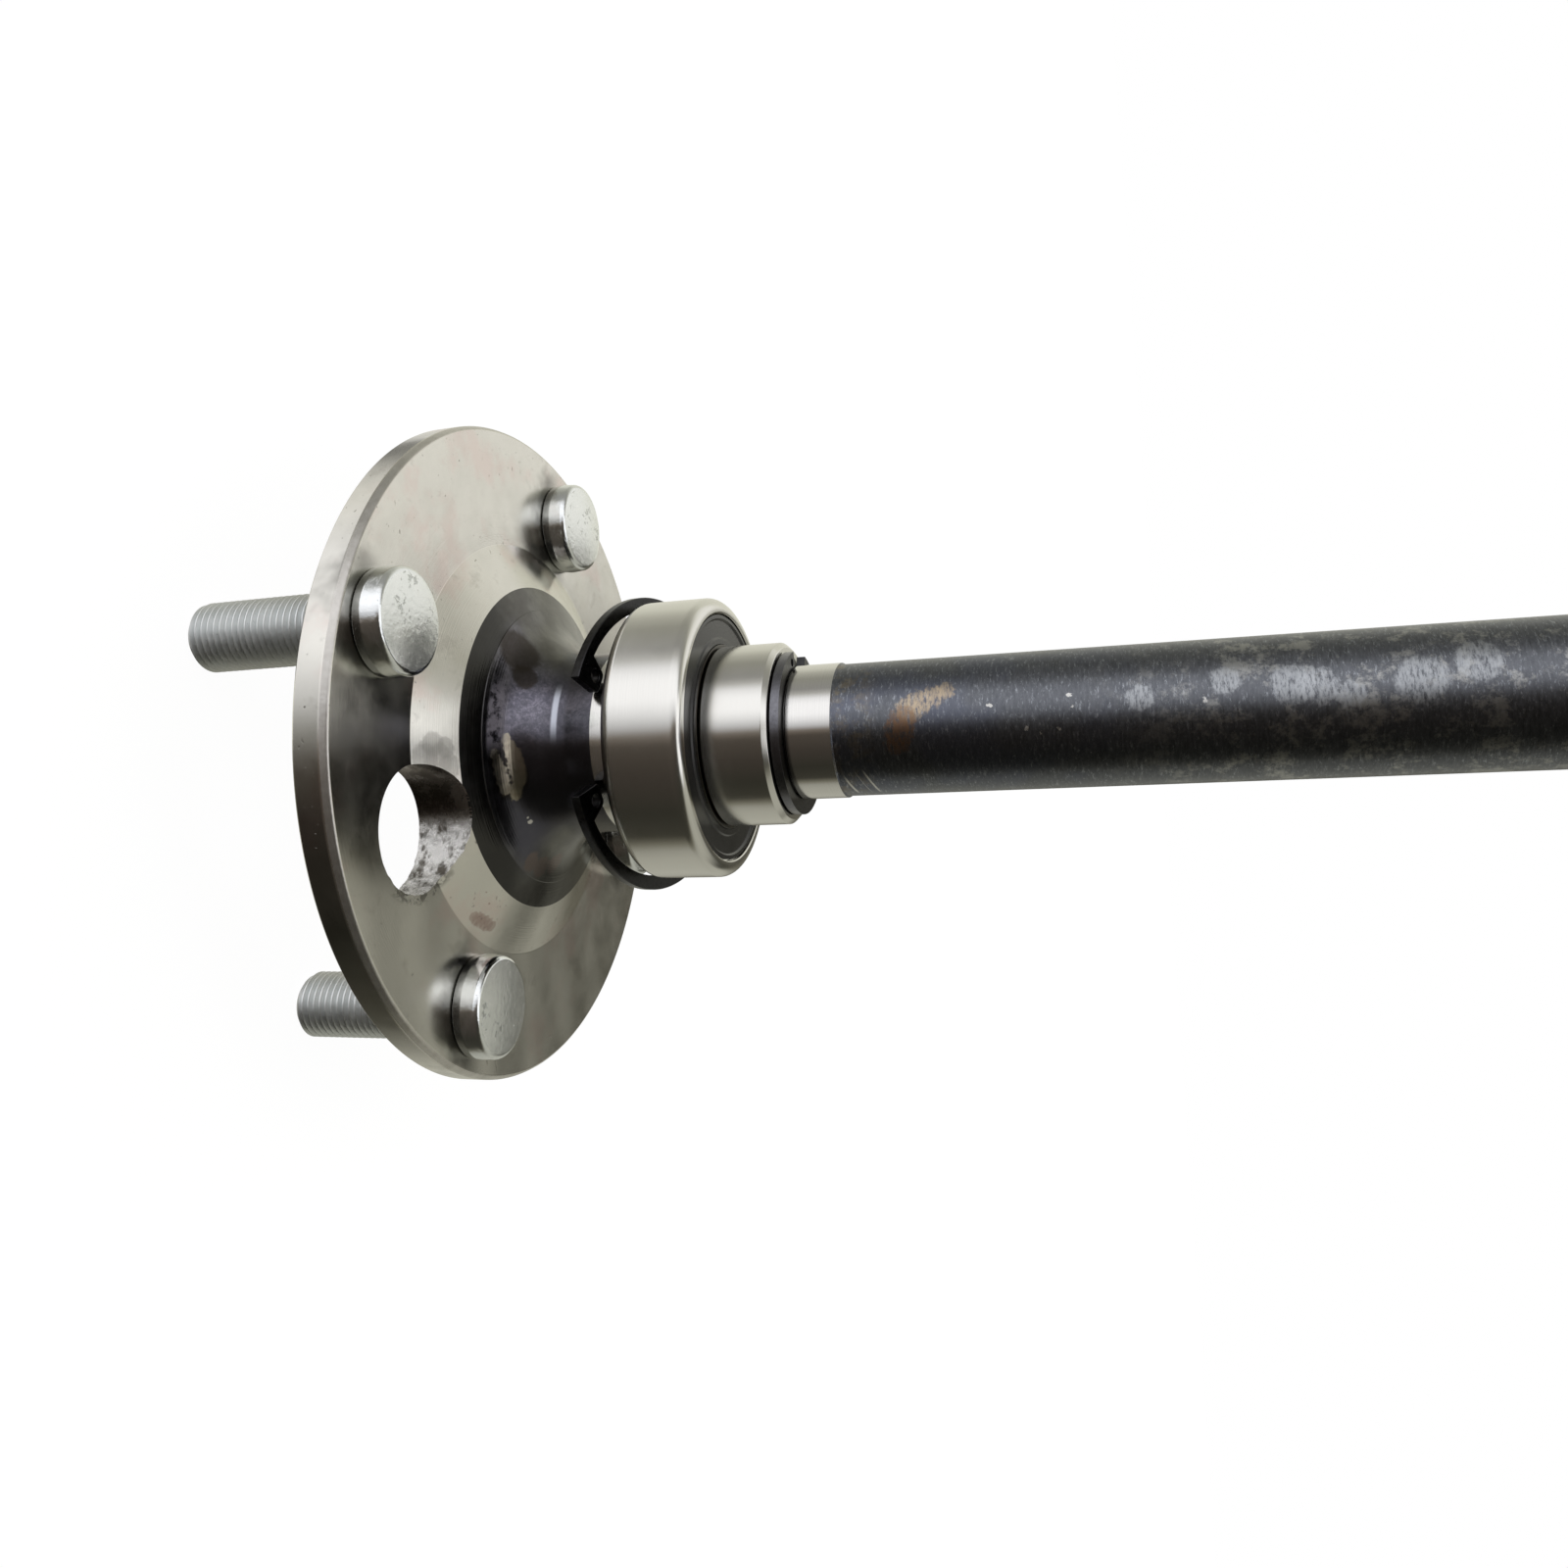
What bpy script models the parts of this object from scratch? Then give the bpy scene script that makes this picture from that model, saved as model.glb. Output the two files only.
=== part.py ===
# Rear axle shaft of a small utility vehicle, with its wheel flange, four pressed wheel studs,
# sealed ball bearing, press-on collar and the two snap rings.
#
# The axle stands on the tips of its wheel studs: the axle's axis is +Z, the origin lies on that
# axis in the plane of the stud tips, and the splined inner end points up.
# All sizes are in metres. Heights called "level" are measured from the flange's inboard face,
# positive towards the splined end, and FACE_Z lifts them to their place above the origin.

from math import acos, asin, cos, hypot, pi, radians, sin, sqrt, tan

import bmesh
import bpy
from mathutils import Matrix

MM = 0.001

# General clearances
SEAT_GAP = 0.25 * MM              # radial gap left between a turned seat and what sits on it
FACE_GAP = 0.30 * MM              # gap left between two faces that meet
CUTTER_OVER = 1.0 * MM            # how far a cutter runs past what it cuts

# Facets around, and steps along, the round shapes
AXLE_SEGMENTS = 72
BEARING_SEGMENTS = 40
STUD_SEGMENTS = 20
ACCESS_HOLE_SEGMENTS = 32
PLIER_HOLE_SEGMENTS = 10
BALL_SEGMENTS = 12
BALL_RINGS = 6
FLARE_STEPS = 6
HEAD_STEPS = 3
CORNER_STEPS = 3
RACE_STEPS = 5
RUNOUT_STEPS = 4
RING_OUTER_STEPS = 40
RING_INNER_STEPS = 30

# Wheel studs
STUD_COUNT = 4
STUD_CIRCLE_DIA = 101.6 * MM
STUD_FIRST_ANGLE = radians(153.5)
STUD_THREAD_DIA = 12.0 * MM
STUD_LENGTH = 35.0 * MM           # flange's inboard face to the stud's tip
STUD_SHOULDER_STEP = 0.6 * MM     # how far the pressed-in shoulder stands out past the thread
STUD_SHOULDER_TAPER = 0.6 * MM
STUD_HEAD_DIA = 18.7 * MM
STUD_HEAD_HEIGHT = 5.6 * MM       # flange face to the top of the head
STUD_HEAD_ROUND = 1.1 * MM
STUD_TIP_CHAMFER = 1.2 * MM

# Wheel flange: its rim passes the stud heads, and its raised cone ends short of them
FLANGE_RIM_MARGIN = 2.55 * MM
FLANGE_THICK = 6.4 * MM
FLANGE_EDGE_WIDE = 0.6 * MM       # turned-off edge, measured inwards
FLANGE_EDGE_TALL = 1.25 * MM      # turned-off edge, measured along the rim
CONE_HEAD_GAP = 1.55 * MM
CONE_TOP_DIA = 62.2 * MM
CONE_HEIGHT = 4.2 * MM
PILOT_DIA = 40.0 * MM             # low boss that centres the brake drum
PILOT_HEIGHT = 3.2 * MM
PILOT_EDGE = 0.7 * MM
CENTRE_DIA = 7.0 * MM             # lathe centre at both ends of the axle
CENTRE_ANGLE = radians(60)

# Access hole for the tool that reaches past the flange
ACCESS_DIA = 21.8 * MM
ACCESS_RADIUS = 41.0 * MM         # from the axle's axis to the hole's axis
ACCESS_ANGLE = radians(196.7)

# Hub between flange and bearing
HUB_FLANK_ANGLE = radians(69)     # the flare's first stretch, measured from the axis
HUB_FILLET = 12.0 * MM            # the flare then rounds into the shoulder
SHOULDER_DIA = 34.2 * MM
SHOULDER_EDGE = 0.5 * MM

# Ball bearing of the common 25 x 52 x 15 mm size. It is sized from the bore outwards: inner
# ring's wall, ball with its two clearances, outer ring's wall
BEARING_LEVEL = 27.8 * MM
BEARING_BORE = 25.0 * MM
BEARING_WIDTH = 15.0 * MM
BEARING_CORNER = 2.2 * MM
BORE_CORNER = 0.9 * MM
BALL_COUNT = 9
BALL_DIA = 7.94 * MM
RACE_GAP = 0.22 * MM              # clearance between a ball and its raceway
INNER_RACE_WALL = 2.83 * MM       # between the bore and the floor of the raceway
INNER_RACE_DEPTH = 1.87 * MM      # from the inner ring's shoulders to the floor of the raceway
OUTER_RACE_WALL = 2.29 * MM
OUTER_RACE_DEPTH = 1.81 * MM
SEAL_SEAT = 1.2 * MM              # step in the outer ring that the seal snaps into
SEAL_RECESS = 0.30 * MM           # the seal lies this far below the bearing's face
SEAL_THICK = 0.90 * MM
SEAL_LIP_WIDE = 1.1 * MM
SEAL_STEP = 0.28 * MM             # the seal's web lies this far below its two lips
CAGE_LAND_GAP = 1.0 * MM          # radial gap between the cage and either ring's shoulders
CAGE_HORN = 1.7 * MM              # height of the cage's fingers past the ball centres
POCKET_GAP = 0.28 * MM

# Press-on collar
COLLAR_WALL = 4.2 * MM
COLLAR_LENGTH = 12.05 * MM
COLLAR_EDGE = 0.9 * MM            # the broken edge that faces the snap ring
COLLAR_BACK_EDGE = 0.45 * MM      # the collar's other edges

# External snap ring behind the collar
SHAFT_RING_THICK = 1.6 * MM
SHAFT_RING_BAND = 3.45 * MM
SHAFT_RING_GROOVE_DEPTH = 0.95 * MM
SHAFT_RING_ANGLE = radians(84)    # where the gap between its ends points
SHAFT_RING_GAP = radians(30)
SHAFT_RING_HOLE_DIA = 1.5 * MM
SHAFT_RING_HOLE_WALL = 0.83 * MM

# Internal snap ring, waiting for its groove in the axle tube. It hangs loosely off centre: its
# lugs nearly touch the shoulder, and its far side is hooked over the bearing's corner
TUBE_RING_THICK = 1.75 * MM
TUBE_RING_OVERSIZE = 2.1 * MM     # how far the free ring's radius exceeds the bearing's
TUBE_RING_BAND = 2.75 * MM        # its mean radial width
TUBE_RING_INNER_SHIFT = 0.45 * MM  # the inner circle lies nearer to the gap
TUBE_RING_GAP = radians(44)
TUBE_RING_ANGLE = radians(174.5)  # where the gap points
TUBE_RING_LUG_WIDE = radians(13)
TUBE_RING_LUG_CORNER = 0.7 * MM
TUBE_RING_HOLE_DIA = 2.5 * MM
TUBE_RING_HOLE_WALL = 0.9 * MM
TUBE_RING_LUG_GAP = 0.6 * MM      # allowance between the lugs' tips and the shoulder
TUBE_RING_OFFSET = 3.7 * MM       # from the axle's axis towards +X
TUBE_RING_SIDE = 0.6 * MM         # from the axle's axis towards -Y
TUBE_RING_TILT = radians(10.1)
TUBE_RING_BEARING_GAP = 0.45 * MM

# Polished seat and black shaft
SEAT_END_LEVEL = 65.6 * MM
SHAFT_DIA = 23.9 * MM
SHAFT_END_LEVEL = 345.0 * MM
SHAFT_END_EDGE = 1.4 * MM

# Spline at the inner end
SPLINE_TEETH = 24
SPLINE_LENGTH = 44.0 * MM
SPLINE_DEPTH = 1.35 * MM
SPLINE_ROOT_WIDE = 0.3 * MM       # width of a space at its floor
SPLINE_FLANK = radians(30)
SPLINE_RUNOUT_RADIUS = 32.0 * MM  # the cutter leaves the shaft on this radius

# Values worked out from the sizes above
FACE_Z = STUD_LENGTH
WEB_LEVEL = -FLANGE_THICK
FLANGE_R = STUD_CIRCLE_DIA / 2 + STUD_HEAD_DIA / 2 + FLANGE_RIM_MARGIN
CONE_FOOT_R = STUD_CIRCLE_DIA / 2 - STUD_HEAD_DIA / 2 - CONE_HEAD_GAP
STUD_SHOULDER_R = STUD_THREAD_DIA / 2 + STUD_SHOULDER_STEP
JOURNAL_R = BEARING_BORE / 2 - SEAT_GAP
SHOULDER_R = SHOULDER_DIA / 2
SHOULDER_LEVEL = BEARING_LEVEL - FACE_GAP
BEARING_TOP_LEVEL = BEARING_LEVEL + BEARING_WIDTH
BALL_LEVEL = BEARING_LEVEL + BEARING_WIDTH / 2
RACE_R = BALL_DIA / 2 + RACE_GAP
BALL_CIRCLE_R = BEARING_BORE / 2 + INNER_RACE_WALL + RACE_R
INNER_LAND_R = BALL_CIRCLE_R - RACE_R + INNER_RACE_DEPTH
OUTER_LAND_R = BALL_CIRCLE_R + RACE_R - OUTER_RACE_DEPTH
BEARING_R = BALL_CIRCLE_R + RACE_R + OUTER_RACE_WALL
SEAL_SEAT_R = OUTER_LAND_R + SEAL_SEAT
SEAL_BACK_DEPTH = SEAL_RECESS + SEAL_THICK
COLLAR_LEVEL = BEARING_TOP_LEVEL + FACE_GAP
COLLAR_TOP_LEVEL = COLLAR_LEVEL + COLLAR_LENGTH
SHAFT_RING_LEVEL = COLLAR_TOP_LEVEL + FACE_GAP
GROOVE_TOP_LEVEL = SHAFT_RING_LEVEL + SHAFT_RING_THICK + FACE_GAP
GROOVE_R = JOURNAL_R - SHAFT_RING_GROOVE_DEPTH
SMOOTH_BELOW = radians(35)        # edges flatter than this are shaded smooth
WELD_DISTANCE = 0.001 * MM


def clear_scene():
    for item in list(bpy.data.objects):
        bpy.data.objects.remove(item, do_unlink=True)


def make_collection(name):
    made = bpy.data.collections.new(name)
    bpy.context.scene.collection.children.link(made)
    return made


def make_material(name, color, metallic, roughness):
    made = bpy.data.materials.new(name)
    made.use_nodes = True
    shader = made.node_tree.nodes["Principled BSDF"]
    shader.inputs["Base Color"].default_value = (*color, 1.0)
    shader.inputs["Metallic"].default_value = metallic
    shader.inputs["Roughness"].default_value = roughness
    return made


clear_scene()
PARTS = make_collection("axle_shaft_assembly")
CUTTERS = make_collection("cutters")

OXIDE_STEEL = make_material("oxide_steel", (0.035, 0.033, 0.042), 0.9, 0.36)
GROUND_STEEL = make_material("ground_steel", (0.62, 0.61, 0.58), 1.0, 0.28)
PLATED_STEEL = make_material("plated_steel", (0.70, 0.73, 0.72), 1.0, 0.32)
SPRING_STEEL = make_material("spring_steel", (0.02, 0.02, 0.022), 0.8, 0.35)
SEAL_RUBBER = make_material("seal_rubber", (0.09, 0.09, 0.09), 0.0, 0.55)
CAGE_POLYMER = make_material("cage_polymer", (0.28, 0.20, 0.11), 0.0, 0.5)
BALL_STEEL = make_material("ball_steel", (0.72, 0.72, 0.74), 1.0, 0.08)


def add_mesh_object(name, mesh, collection):
    made = bpy.data.objects.new(name, mesh)
    collection.objects.link(made)
    return made


def hide_cutter(cutter):
    cutter.hide_render = True
    cutter.display_type = 'WIRE'
    return cutter


def shade_round(mesh):
    mesh.shade_smooth()
    mesh.set_sharp_from_angle(angle=SMOOTH_BELOW)


def polar(radius, angle):
    return radius * cos(angle), radius * sin(angle)


def even_steps(start, end, steps):
    return [start + (end - start) * i / steps for i in range(steps + 1)]


def arc_points(centre_r, centre_level, radius, start, end, steps):
    """Points (r, level) along an arc; angles are measured from the outward radial direction."""
    return [(centre_r + radius * cos(angle), centre_level + radius * sin(angle))
            for angle in even_steps(start, end, steps)]


def turned(name, profile, steps, collection, material, base=FACE_Z):
    """A turned solid. The profile lists (r, level) from the top, down the outer side, and back
    up the bore if it has one; a solid piece starts and ends on the axis."""
    mesh = bpy.data.meshes.new(name)
    count = len(profile)
    edges = [(i, i + 1) for i in range(count - 1)]
    if min(r for r, level in profile) > 0:
        edges.append((count - 1, 0))
    mesh.from_pydata([(r, 0, level + base) for r, level in profile], edges, [])
    made = add_mesh_object(name, mesh, collection)
    screw = made.modifiers.new("turn", 'SCREW')
    screw.steps = steps
    screw.render_steps = steps
    screw.use_merge_vertices = True
    screw.merge_threshold = WELD_DISTANCE
    mesh.materials.append(material)
    return made


def freeze(made):
    """Replace an object's mesh by its evaluated one, so that further cuts stay quick."""
    shapes = bpy.context.evaluated_depsgraph_get()
    fixed = bpy.data.meshes.new_from_object(made.evaluated_get(shapes))
    made.modifiers.clear()
    made.data = fixed
    return made


def cut(target, cutter, name):
    boolean = target.modifiers.new(name, 'BOOLEAN')
    boolean.operation = 'DIFFERENCE'
    boolean.solver = 'EXACT'
    boolean.object = cutter


def drill(name, radius, bottom, top, x, y, steps):
    """A round cutter between two levels."""
    mesh = bpy.data.meshes.new(name)
    shape = bmesh.new()
    middle = Matrix.Translation((x, y, FACE_Z + (bottom + top) / 2))
    bmesh.ops.create_cone(shape, cap_ends=True, segments=steps, radius1=radius, radius2=radius,
                          depth=top - bottom, matrix=middle)
    shape.to_mesh(mesh)
    shape.free()
    return hide_cutter(add_mesh_object(name, mesh, CUTTERS))


def weld(mesh):
    shape = bmesh.new()
    shape.from_mesh(mesh)
    bmesh.ops.remove_doubles(shape, verts=shape.verts, dist=WELD_DISTANCE)
    bmesh.ops.recalc_face_normals(shape, faces=shape.faces)
    shape.to_mesh(mesh)
    shape.free()


def extruded(name, outlines, bottom, thick, material):
    """A flat plate that starts at a height, from its outline and the outlines of its holes."""
    curve = bpy.data.curves.new(name, 'CURVE')
    curve.dimensions = '2D'
    curve.fill_mode = 'BOTH'
    curve.extrude = thick / 2
    for outline in outlines:
        spline = curve.splines.new('POLY')
        spline.points.add(len(outline) - 1)
        for point, (x, y) in zip(spline.points, outline):
            point.co = (x, y, 0, 1)
        spline.use_cyclic_u = True
    source = bpy.data.objects.new(name + "_outline", curve)
    source.location.z = bottom + thick / 2
    PARTS.objects.link(source)
    bpy.context.view_layer.update()
    shapes = bpy.context.evaluated_depsgraph_get()
    mesh = bpy.data.meshes.new_from_object(source.evaluated_get(shapes))
    mesh.name = name
    weld(mesh)
    made = add_mesh_object(name, mesh, PARTS)
    made.matrix_world = source.matrix_world
    bpy.data.objects.remove(source)
    mesh.materials.append(material)
    return made


def stud_places():
    return [polar(STUD_CIRCLE_DIA / 2, STUD_FIRST_ANGLE + i * 2 * pi / STUD_COUNT)
            for i in range(STUD_COUNT)]


# The hub's flare: a straight flank from the cone's top, then a fillet into the shoulder.
# The points run from the shoulder down to where the flank starts
def hub_flare():
    flank_end_r = SHOULDER_R + HUB_FILLET * (1 - cos(HUB_FLANK_ANGLE))
    flank_rise = (CONE_TOP_DIA / 2 - flank_end_r) / tan(HUB_FLANK_ANGLE)
    centre_level = CONE_HEIGHT + flank_rise + HUB_FILLET * sin(HUB_FLANK_ANGLE)
    return arc_points(SHOULDER_R + HUB_FILLET, centre_level, HUB_FILLET,
                      pi, pi + HUB_FLANK_ANGLE, FLARE_STEPS)


def axle_profile():
    centre_depth = CENTRE_DIA / 2 / tan(CENTRE_ANGLE / 2)
    pilot_level = WEB_LEVEL - PILOT_HEIGHT
    shaft_r = SHAFT_DIA / 2
    pilot_r = PILOT_DIA / 2
    profile = [
        (0, SHAFT_END_LEVEL - centre_depth),
        (CENTRE_DIA / 2, SHAFT_END_LEVEL),
        (shaft_r - SHAFT_END_EDGE, SHAFT_END_LEVEL),
        (shaft_r, SHAFT_END_LEVEL - SHAFT_END_EDGE),
        (shaft_r, SHAFT_END_LEVEL - SPLINE_LENGTH),
        (shaft_r, SEAT_END_LEVEL),
        (JOURNAL_R, SEAT_END_LEVEL - abs(JOURNAL_R - shaft_r)),
        (JOURNAL_R, GROOVE_TOP_LEVEL),
        (GROOVE_R, GROOVE_TOP_LEVEL),
        (GROOVE_R, COLLAR_TOP_LEVEL),
        (JOURNAL_R, COLLAR_TOP_LEVEL),
        (JOURNAL_R, SHOULDER_LEVEL),
        (SHOULDER_R - SHOULDER_EDGE, SHOULDER_LEVEL),
        (SHOULDER_R, SHOULDER_LEVEL - SHOULDER_EDGE),
    ]
    profile += hub_flare()
    profile += [
        (CONE_TOP_DIA / 2, CONE_HEIGHT),
        (CONE_FOOT_R, 0),
        (FLANGE_R - FLANGE_EDGE_WIDE, 0),
        (FLANGE_R, -FLANGE_EDGE_TALL),
        (FLANGE_R, WEB_LEVEL + FLANGE_EDGE_WIDE),
        (FLANGE_R - FLANGE_EDGE_WIDE, WEB_LEVEL),
        (pilot_r, WEB_LEVEL),
        (pilot_r, pilot_level + PILOT_EDGE),
        (pilot_r - PILOT_EDGE, pilot_level),
        (CENTRE_DIA / 2, pilot_level),
        (0, pilot_level + centre_depth),
    ]
    return profile


def build_axle():
    axle = freeze(turned("axle_shaft", axle_profile(), AXLE_SEGMENTS, PARTS, OXIDE_STEEL))
    cut(axle, make_spline_cutter(), "spline")
    bottom = WEB_LEVEL - CUTTER_OVER
    for i, (x, y) in enumerate(stud_places()):
        hole = drill(f"stud_hole_{i + 1}_cutter", STUD_SHOULDER_R + SEAT_GAP,
                     bottom, CUTTER_OVER, x, y, STUD_SEGMENTS)
        cut(axle, hole, f"stud_hole_{i + 1}")
    x, y = polar(ACCESS_RADIUS, ACCESS_ANGLE)
    hole = drill("access_hole_cutter", ACCESS_DIA / 2, bottom, SHOULDER_LEVEL, x, y,
                 ACCESS_HOLE_SEGMENTS)
    cut(axle, hole, "access_hole")
    freeze(axle)
    shade_round(axle.data)
    mark_machined_zones(axle.data)


# The flange, its cone, the shoulder, the journal and the seat are machined after the axle has
# been blackened; the flare and the shaft stay black
def mark_machined_zones(mesh):
    mesh.materials.append(GROUND_STEEL)
    shoulder_foot = hub_flare()[0][1]
    for face in mesh.polygons:
        level = face.center.z - FACE_Z
        if level < CONE_HEIGHT or shoulder_foot < level < SEAT_END_LEVEL:
            face.material_index = 1


# The spline's spaces. Each is the path of a wedge-shaped tool that runs straight down the
# shaft's end and then leaves the shaft on the cutter's radius, as a loft of its sections
def make_spline_cutter():
    tip_r = SHAFT_DIA / 2
    root_r = tip_r - SPLINE_DEPTH
    widening = tan(SPLINE_FLANK)
    tool_height = SPLINE_DEPTH + CUTTER_OVER
    runout_angle = acos(1 - tool_height / SPLINE_RUNOUT_RADIUS)
    straight_end = SHAFT_END_LEVEL - SPLINE_LENGTH + SPLINE_RUNOUT_RADIUS * sin(runout_angle)
    path = [(root_r, SHAFT_END_LEVEL + CUTTER_OVER)]
    for angle in even_steps(0, runout_angle, RUNOUT_STEPS):
        path.append((root_r + SPLINE_RUNOUT_RADIUS * (1 - cos(angle)),
                     straight_end - SPLINE_RUNOUT_RADIUS * sin(angle)))
    shape = bmesh.new()
    sections = []
    for floor_r, level in path:
        rise = floor_r - root_r
        half_floor = SPLINE_ROOT_WIDE / 2 + rise * widening
        half_outer = half_floor + tool_height * widening
        outer_r = floor_r + tool_height
        corners = [(floor_r, -half_floor), (outer_r, -half_outer),
                   (outer_r, half_outer), (floor_r, half_floor)]
        sections.append([shape.verts.new((r, width, level + FACE_Z)) for r, width in corners])
    for upper, lower in zip(sections, sections[1:]):
        for i in range(len(upper)):
            j = (i + 1) % len(upper)
            shape.faces.new((upper[i], upper[j], lower[j], lower[i]))
    shape.faces.new(sections[0][::-1])
    shape.faces.new(sections[-1])
    first = list(shape.verts) + list(shape.edges) + list(shape.faces)
    for i in range(1, SPLINE_TEETH):
        copy = bmesh.ops.duplicate(shape, geom=first)
        verts = [item for item in copy["geom"] if isinstance(item, bmesh.types.BMVert)]
        turn = Matrix.Rotation(2 * pi * i / SPLINE_TEETH, 3, 'Z')
        bmesh.ops.rotate(shape, verts=verts, cent=(0, 0, 0), matrix=turn)
    bmesh.ops.recalc_face_normals(shape, faces=shape.faces)
    mesh = bpy.data.meshes.new("spline_cutter")
    shape.to_mesh(mesh)
    shape.free()
    return hide_cutter(add_mesh_object("spline_cutter", mesh, CUTTERS))


def build_studs():
    head_r = STUD_HEAD_DIA / 2
    thread_r = STUD_THREAD_DIA / 2
    head_edge = arc_points(head_r - STUD_HEAD_ROUND, STUD_HEAD_HEIGHT - STUD_HEAD_ROUND,
                           STUD_HEAD_ROUND, pi / 2, 0, HEAD_STEPS)
    profile = [(0, STUD_HEAD_HEIGHT)] + head_edge + [
        (head_r, FACE_GAP),
        (STUD_SHOULDER_R, FACE_GAP),
        (STUD_SHOULDER_R, WEB_LEVEL + STUD_SHOULDER_TAPER),
        (thread_r, WEB_LEVEL),
        (thread_r, -STUD_LENGTH + STUD_TIP_CHAMFER),
        (thread_r - STUD_TIP_CHAMFER, -STUD_LENGTH),
        (0, -STUD_LENGTH),
    ]
    pattern = freeze(turned("wheel_stud", profile, STUD_SEGMENTS, PARTS, PLATED_STEEL, base=0))
    shade_round(pattern.data)
    for i, (x, y) in enumerate(stud_places()):
        stud = add_mesh_object(f"wheel_stud_{i + 1}", pattern.data, PARTS)
        stud.location = (x, y, FACE_Z)
    bpy.data.objects.remove(pattern)


def raceway(land_r, towards):
    """The raceway's arc between a ring's two lands; towards is the angle of its deepest point."""
    half = acos(abs(land_r - BALL_CIRCLE_R) / RACE_R)
    return arc_points(BALL_CIRCLE_R, BALL_LEVEL, RACE_R, towards - half, towards + half,
                      RACE_STEPS)


def build_outer_ring():
    corner = BEARING_CORNER
    seat_bottom = BEARING_LEVEL + SEAL_BACK_DEPTH + FACE_GAP
    seat_top = BEARING_TOP_LEVEL - SEAL_BACK_DEPTH - FACE_GAP
    profile = arc_points(BEARING_R - corner, BEARING_TOP_LEVEL - corner, corner,
                         pi / 2, 0, CORNER_STEPS)
    profile += arc_points(BEARING_R - corner, BEARING_LEVEL + corner, corner,
                          0, -pi / 2, CORNER_STEPS)
    profile += [(SEAL_SEAT_R, BEARING_LEVEL), (SEAL_SEAT_R, seat_bottom),
                (OUTER_LAND_R, seat_bottom)]
    profile += raceway(OUTER_LAND_R, 0)
    profile += [(OUTER_LAND_R, seat_top), (SEAL_SEAT_R, seat_top),
                (SEAL_SEAT_R, BEARING_TOP_LEVEL)]
    ring = turned("bearing_outer_ring", profile, BEARING_SEGMENTS, PARTS, GROUND_STEEL)
    shade_round(freeze(ring).data)


def build_inner_ring():
    bore_r = BEARING_BORE / 2
    profile = [(INNER_LAND_R, BEARING_TOP_LEVEL)]
    profile += raceway(INNER_LAND_R, pi)
    profile += [
        (INNER_LAND_R, BEARING_LEVEL),
        (bore_r + BORE_CORNER, BEARING_LEVEL),
        (bore_r, BEARING_LEVEL + BORE_CORNER),
        (bore_r, BEARING_TOP_LEVEL - BORE_CORNER),
        (bore_r + BORE_CORNER, BEARING_TOP_LEVEL),
    ]
    ring = turned("bearing_inner_ring", profile, BEARING_SEGMENTS, PARTS, GROUND_STEEL)
    shade_round(freeze(ring).data)


def ball_places():
    return [polar(BALL_CIRCLE_R, i * 2 * pi / BALL_COUNT) for i in range(BALL_COUNT)]


def add_sphere(shape, radius, centre):
    bmesh.ops.create_uvsphere(shape, u_segments=BALL_SEGMENTS, v_segments=BALL_RINGS,
                              radius=radius, matrix=Matrix.Translation(centre))


def build_balls():
    mesh = bpy.data.meshes.new("bearing_ball")
    shape = bmesh.new()
    add_sphere(shape, BALL_DIA / 2, (0, 0, 0))
    shape.to_mesh(mesh)
    shape.free()
    mesh.shade_smooth()
    mesh.materials.append(BALL_STEEL)
    for i, (x, y) in enumerate(ball_places()):
        ball = add_mesh_object(f"bearing_ball_{i + 1}", mesh, PARTS)
        ball.location = (x, y, FACE_Z + BALL_LEVEL)


# The cage is a moulded ring whose fingers snap round the balls. Its closed back runs close to
# the outboard seal
def build_cage():
    outer_r = OUTER_LAND_R - CAGE_LAND_GAP
    inner_r = INNER_LAND_R + CAGE_LAND_GAP
    pocket_r = BALL_DIA / 2 + POCKET_GAP
    top = BALL_LEVEL + CAGE_HORN
    bottom = BEARING_LEVEL + SEAL_BACK_DEPTH + FACE_GAP
    profile = [(inner_r, top), (outer_r, top), (outer_r, bottom), (inner_r, bottom)]
    cage = freeze(turned("bearing_cage", profile, BALL_COUNT * 4, PARTS, CAGE_POLYMER))
    mesh = bpy.data.meshes.new("pocket_cutter")
    shape = bmesh.new()
    for x, y in ball_places():
        add_sphere(shape, pocket_r, (x, y, FACE_Z + BALL_LEVEL))
    shape.to_mesh(mesh)
    shape.free()
    cut(cage, hide_cutter(add_mesh_object("pocket_cutter", mesh, CUTTERS)), "pockets")
    shade_round(freeze(cage).data)


def build_seal(name, outer_level, direction):
    """A seal whose outer face lies at outer_level; direction is +1 for a seal that faces up."""
    outer_r = SEAL_SEAT_R - FACE_GAP
    inner_r = INNER_LAND_R + FACE_GAP
    lip_r = inner_r + SEAL_LIP_WIDE
    rim_r = outer_r - SEAL_LIP_WIDE
    face = [(inner_r, 0), (lip_r, 0), (lip_r + SEAL_STEP, -SEAL_STEP),
            (rim_r - SEAL_STEP, -SEAL_STEP), (rim_r, 0), (outer_r, 0)]
    profile = [(r, outer_level + direction * depth) for r, depth in face]
    back = outer_level - direction * SEAL_THICK
    profile += [(outer_r, back), (inner_r, back)]
    if direction < 0:
        profile.reverse()
    seal = turned(name, profile, BEARING_SEGMENTS, PARTS, SEAL_RUBBER)
    shade_round(freeze(seal).data)


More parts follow.
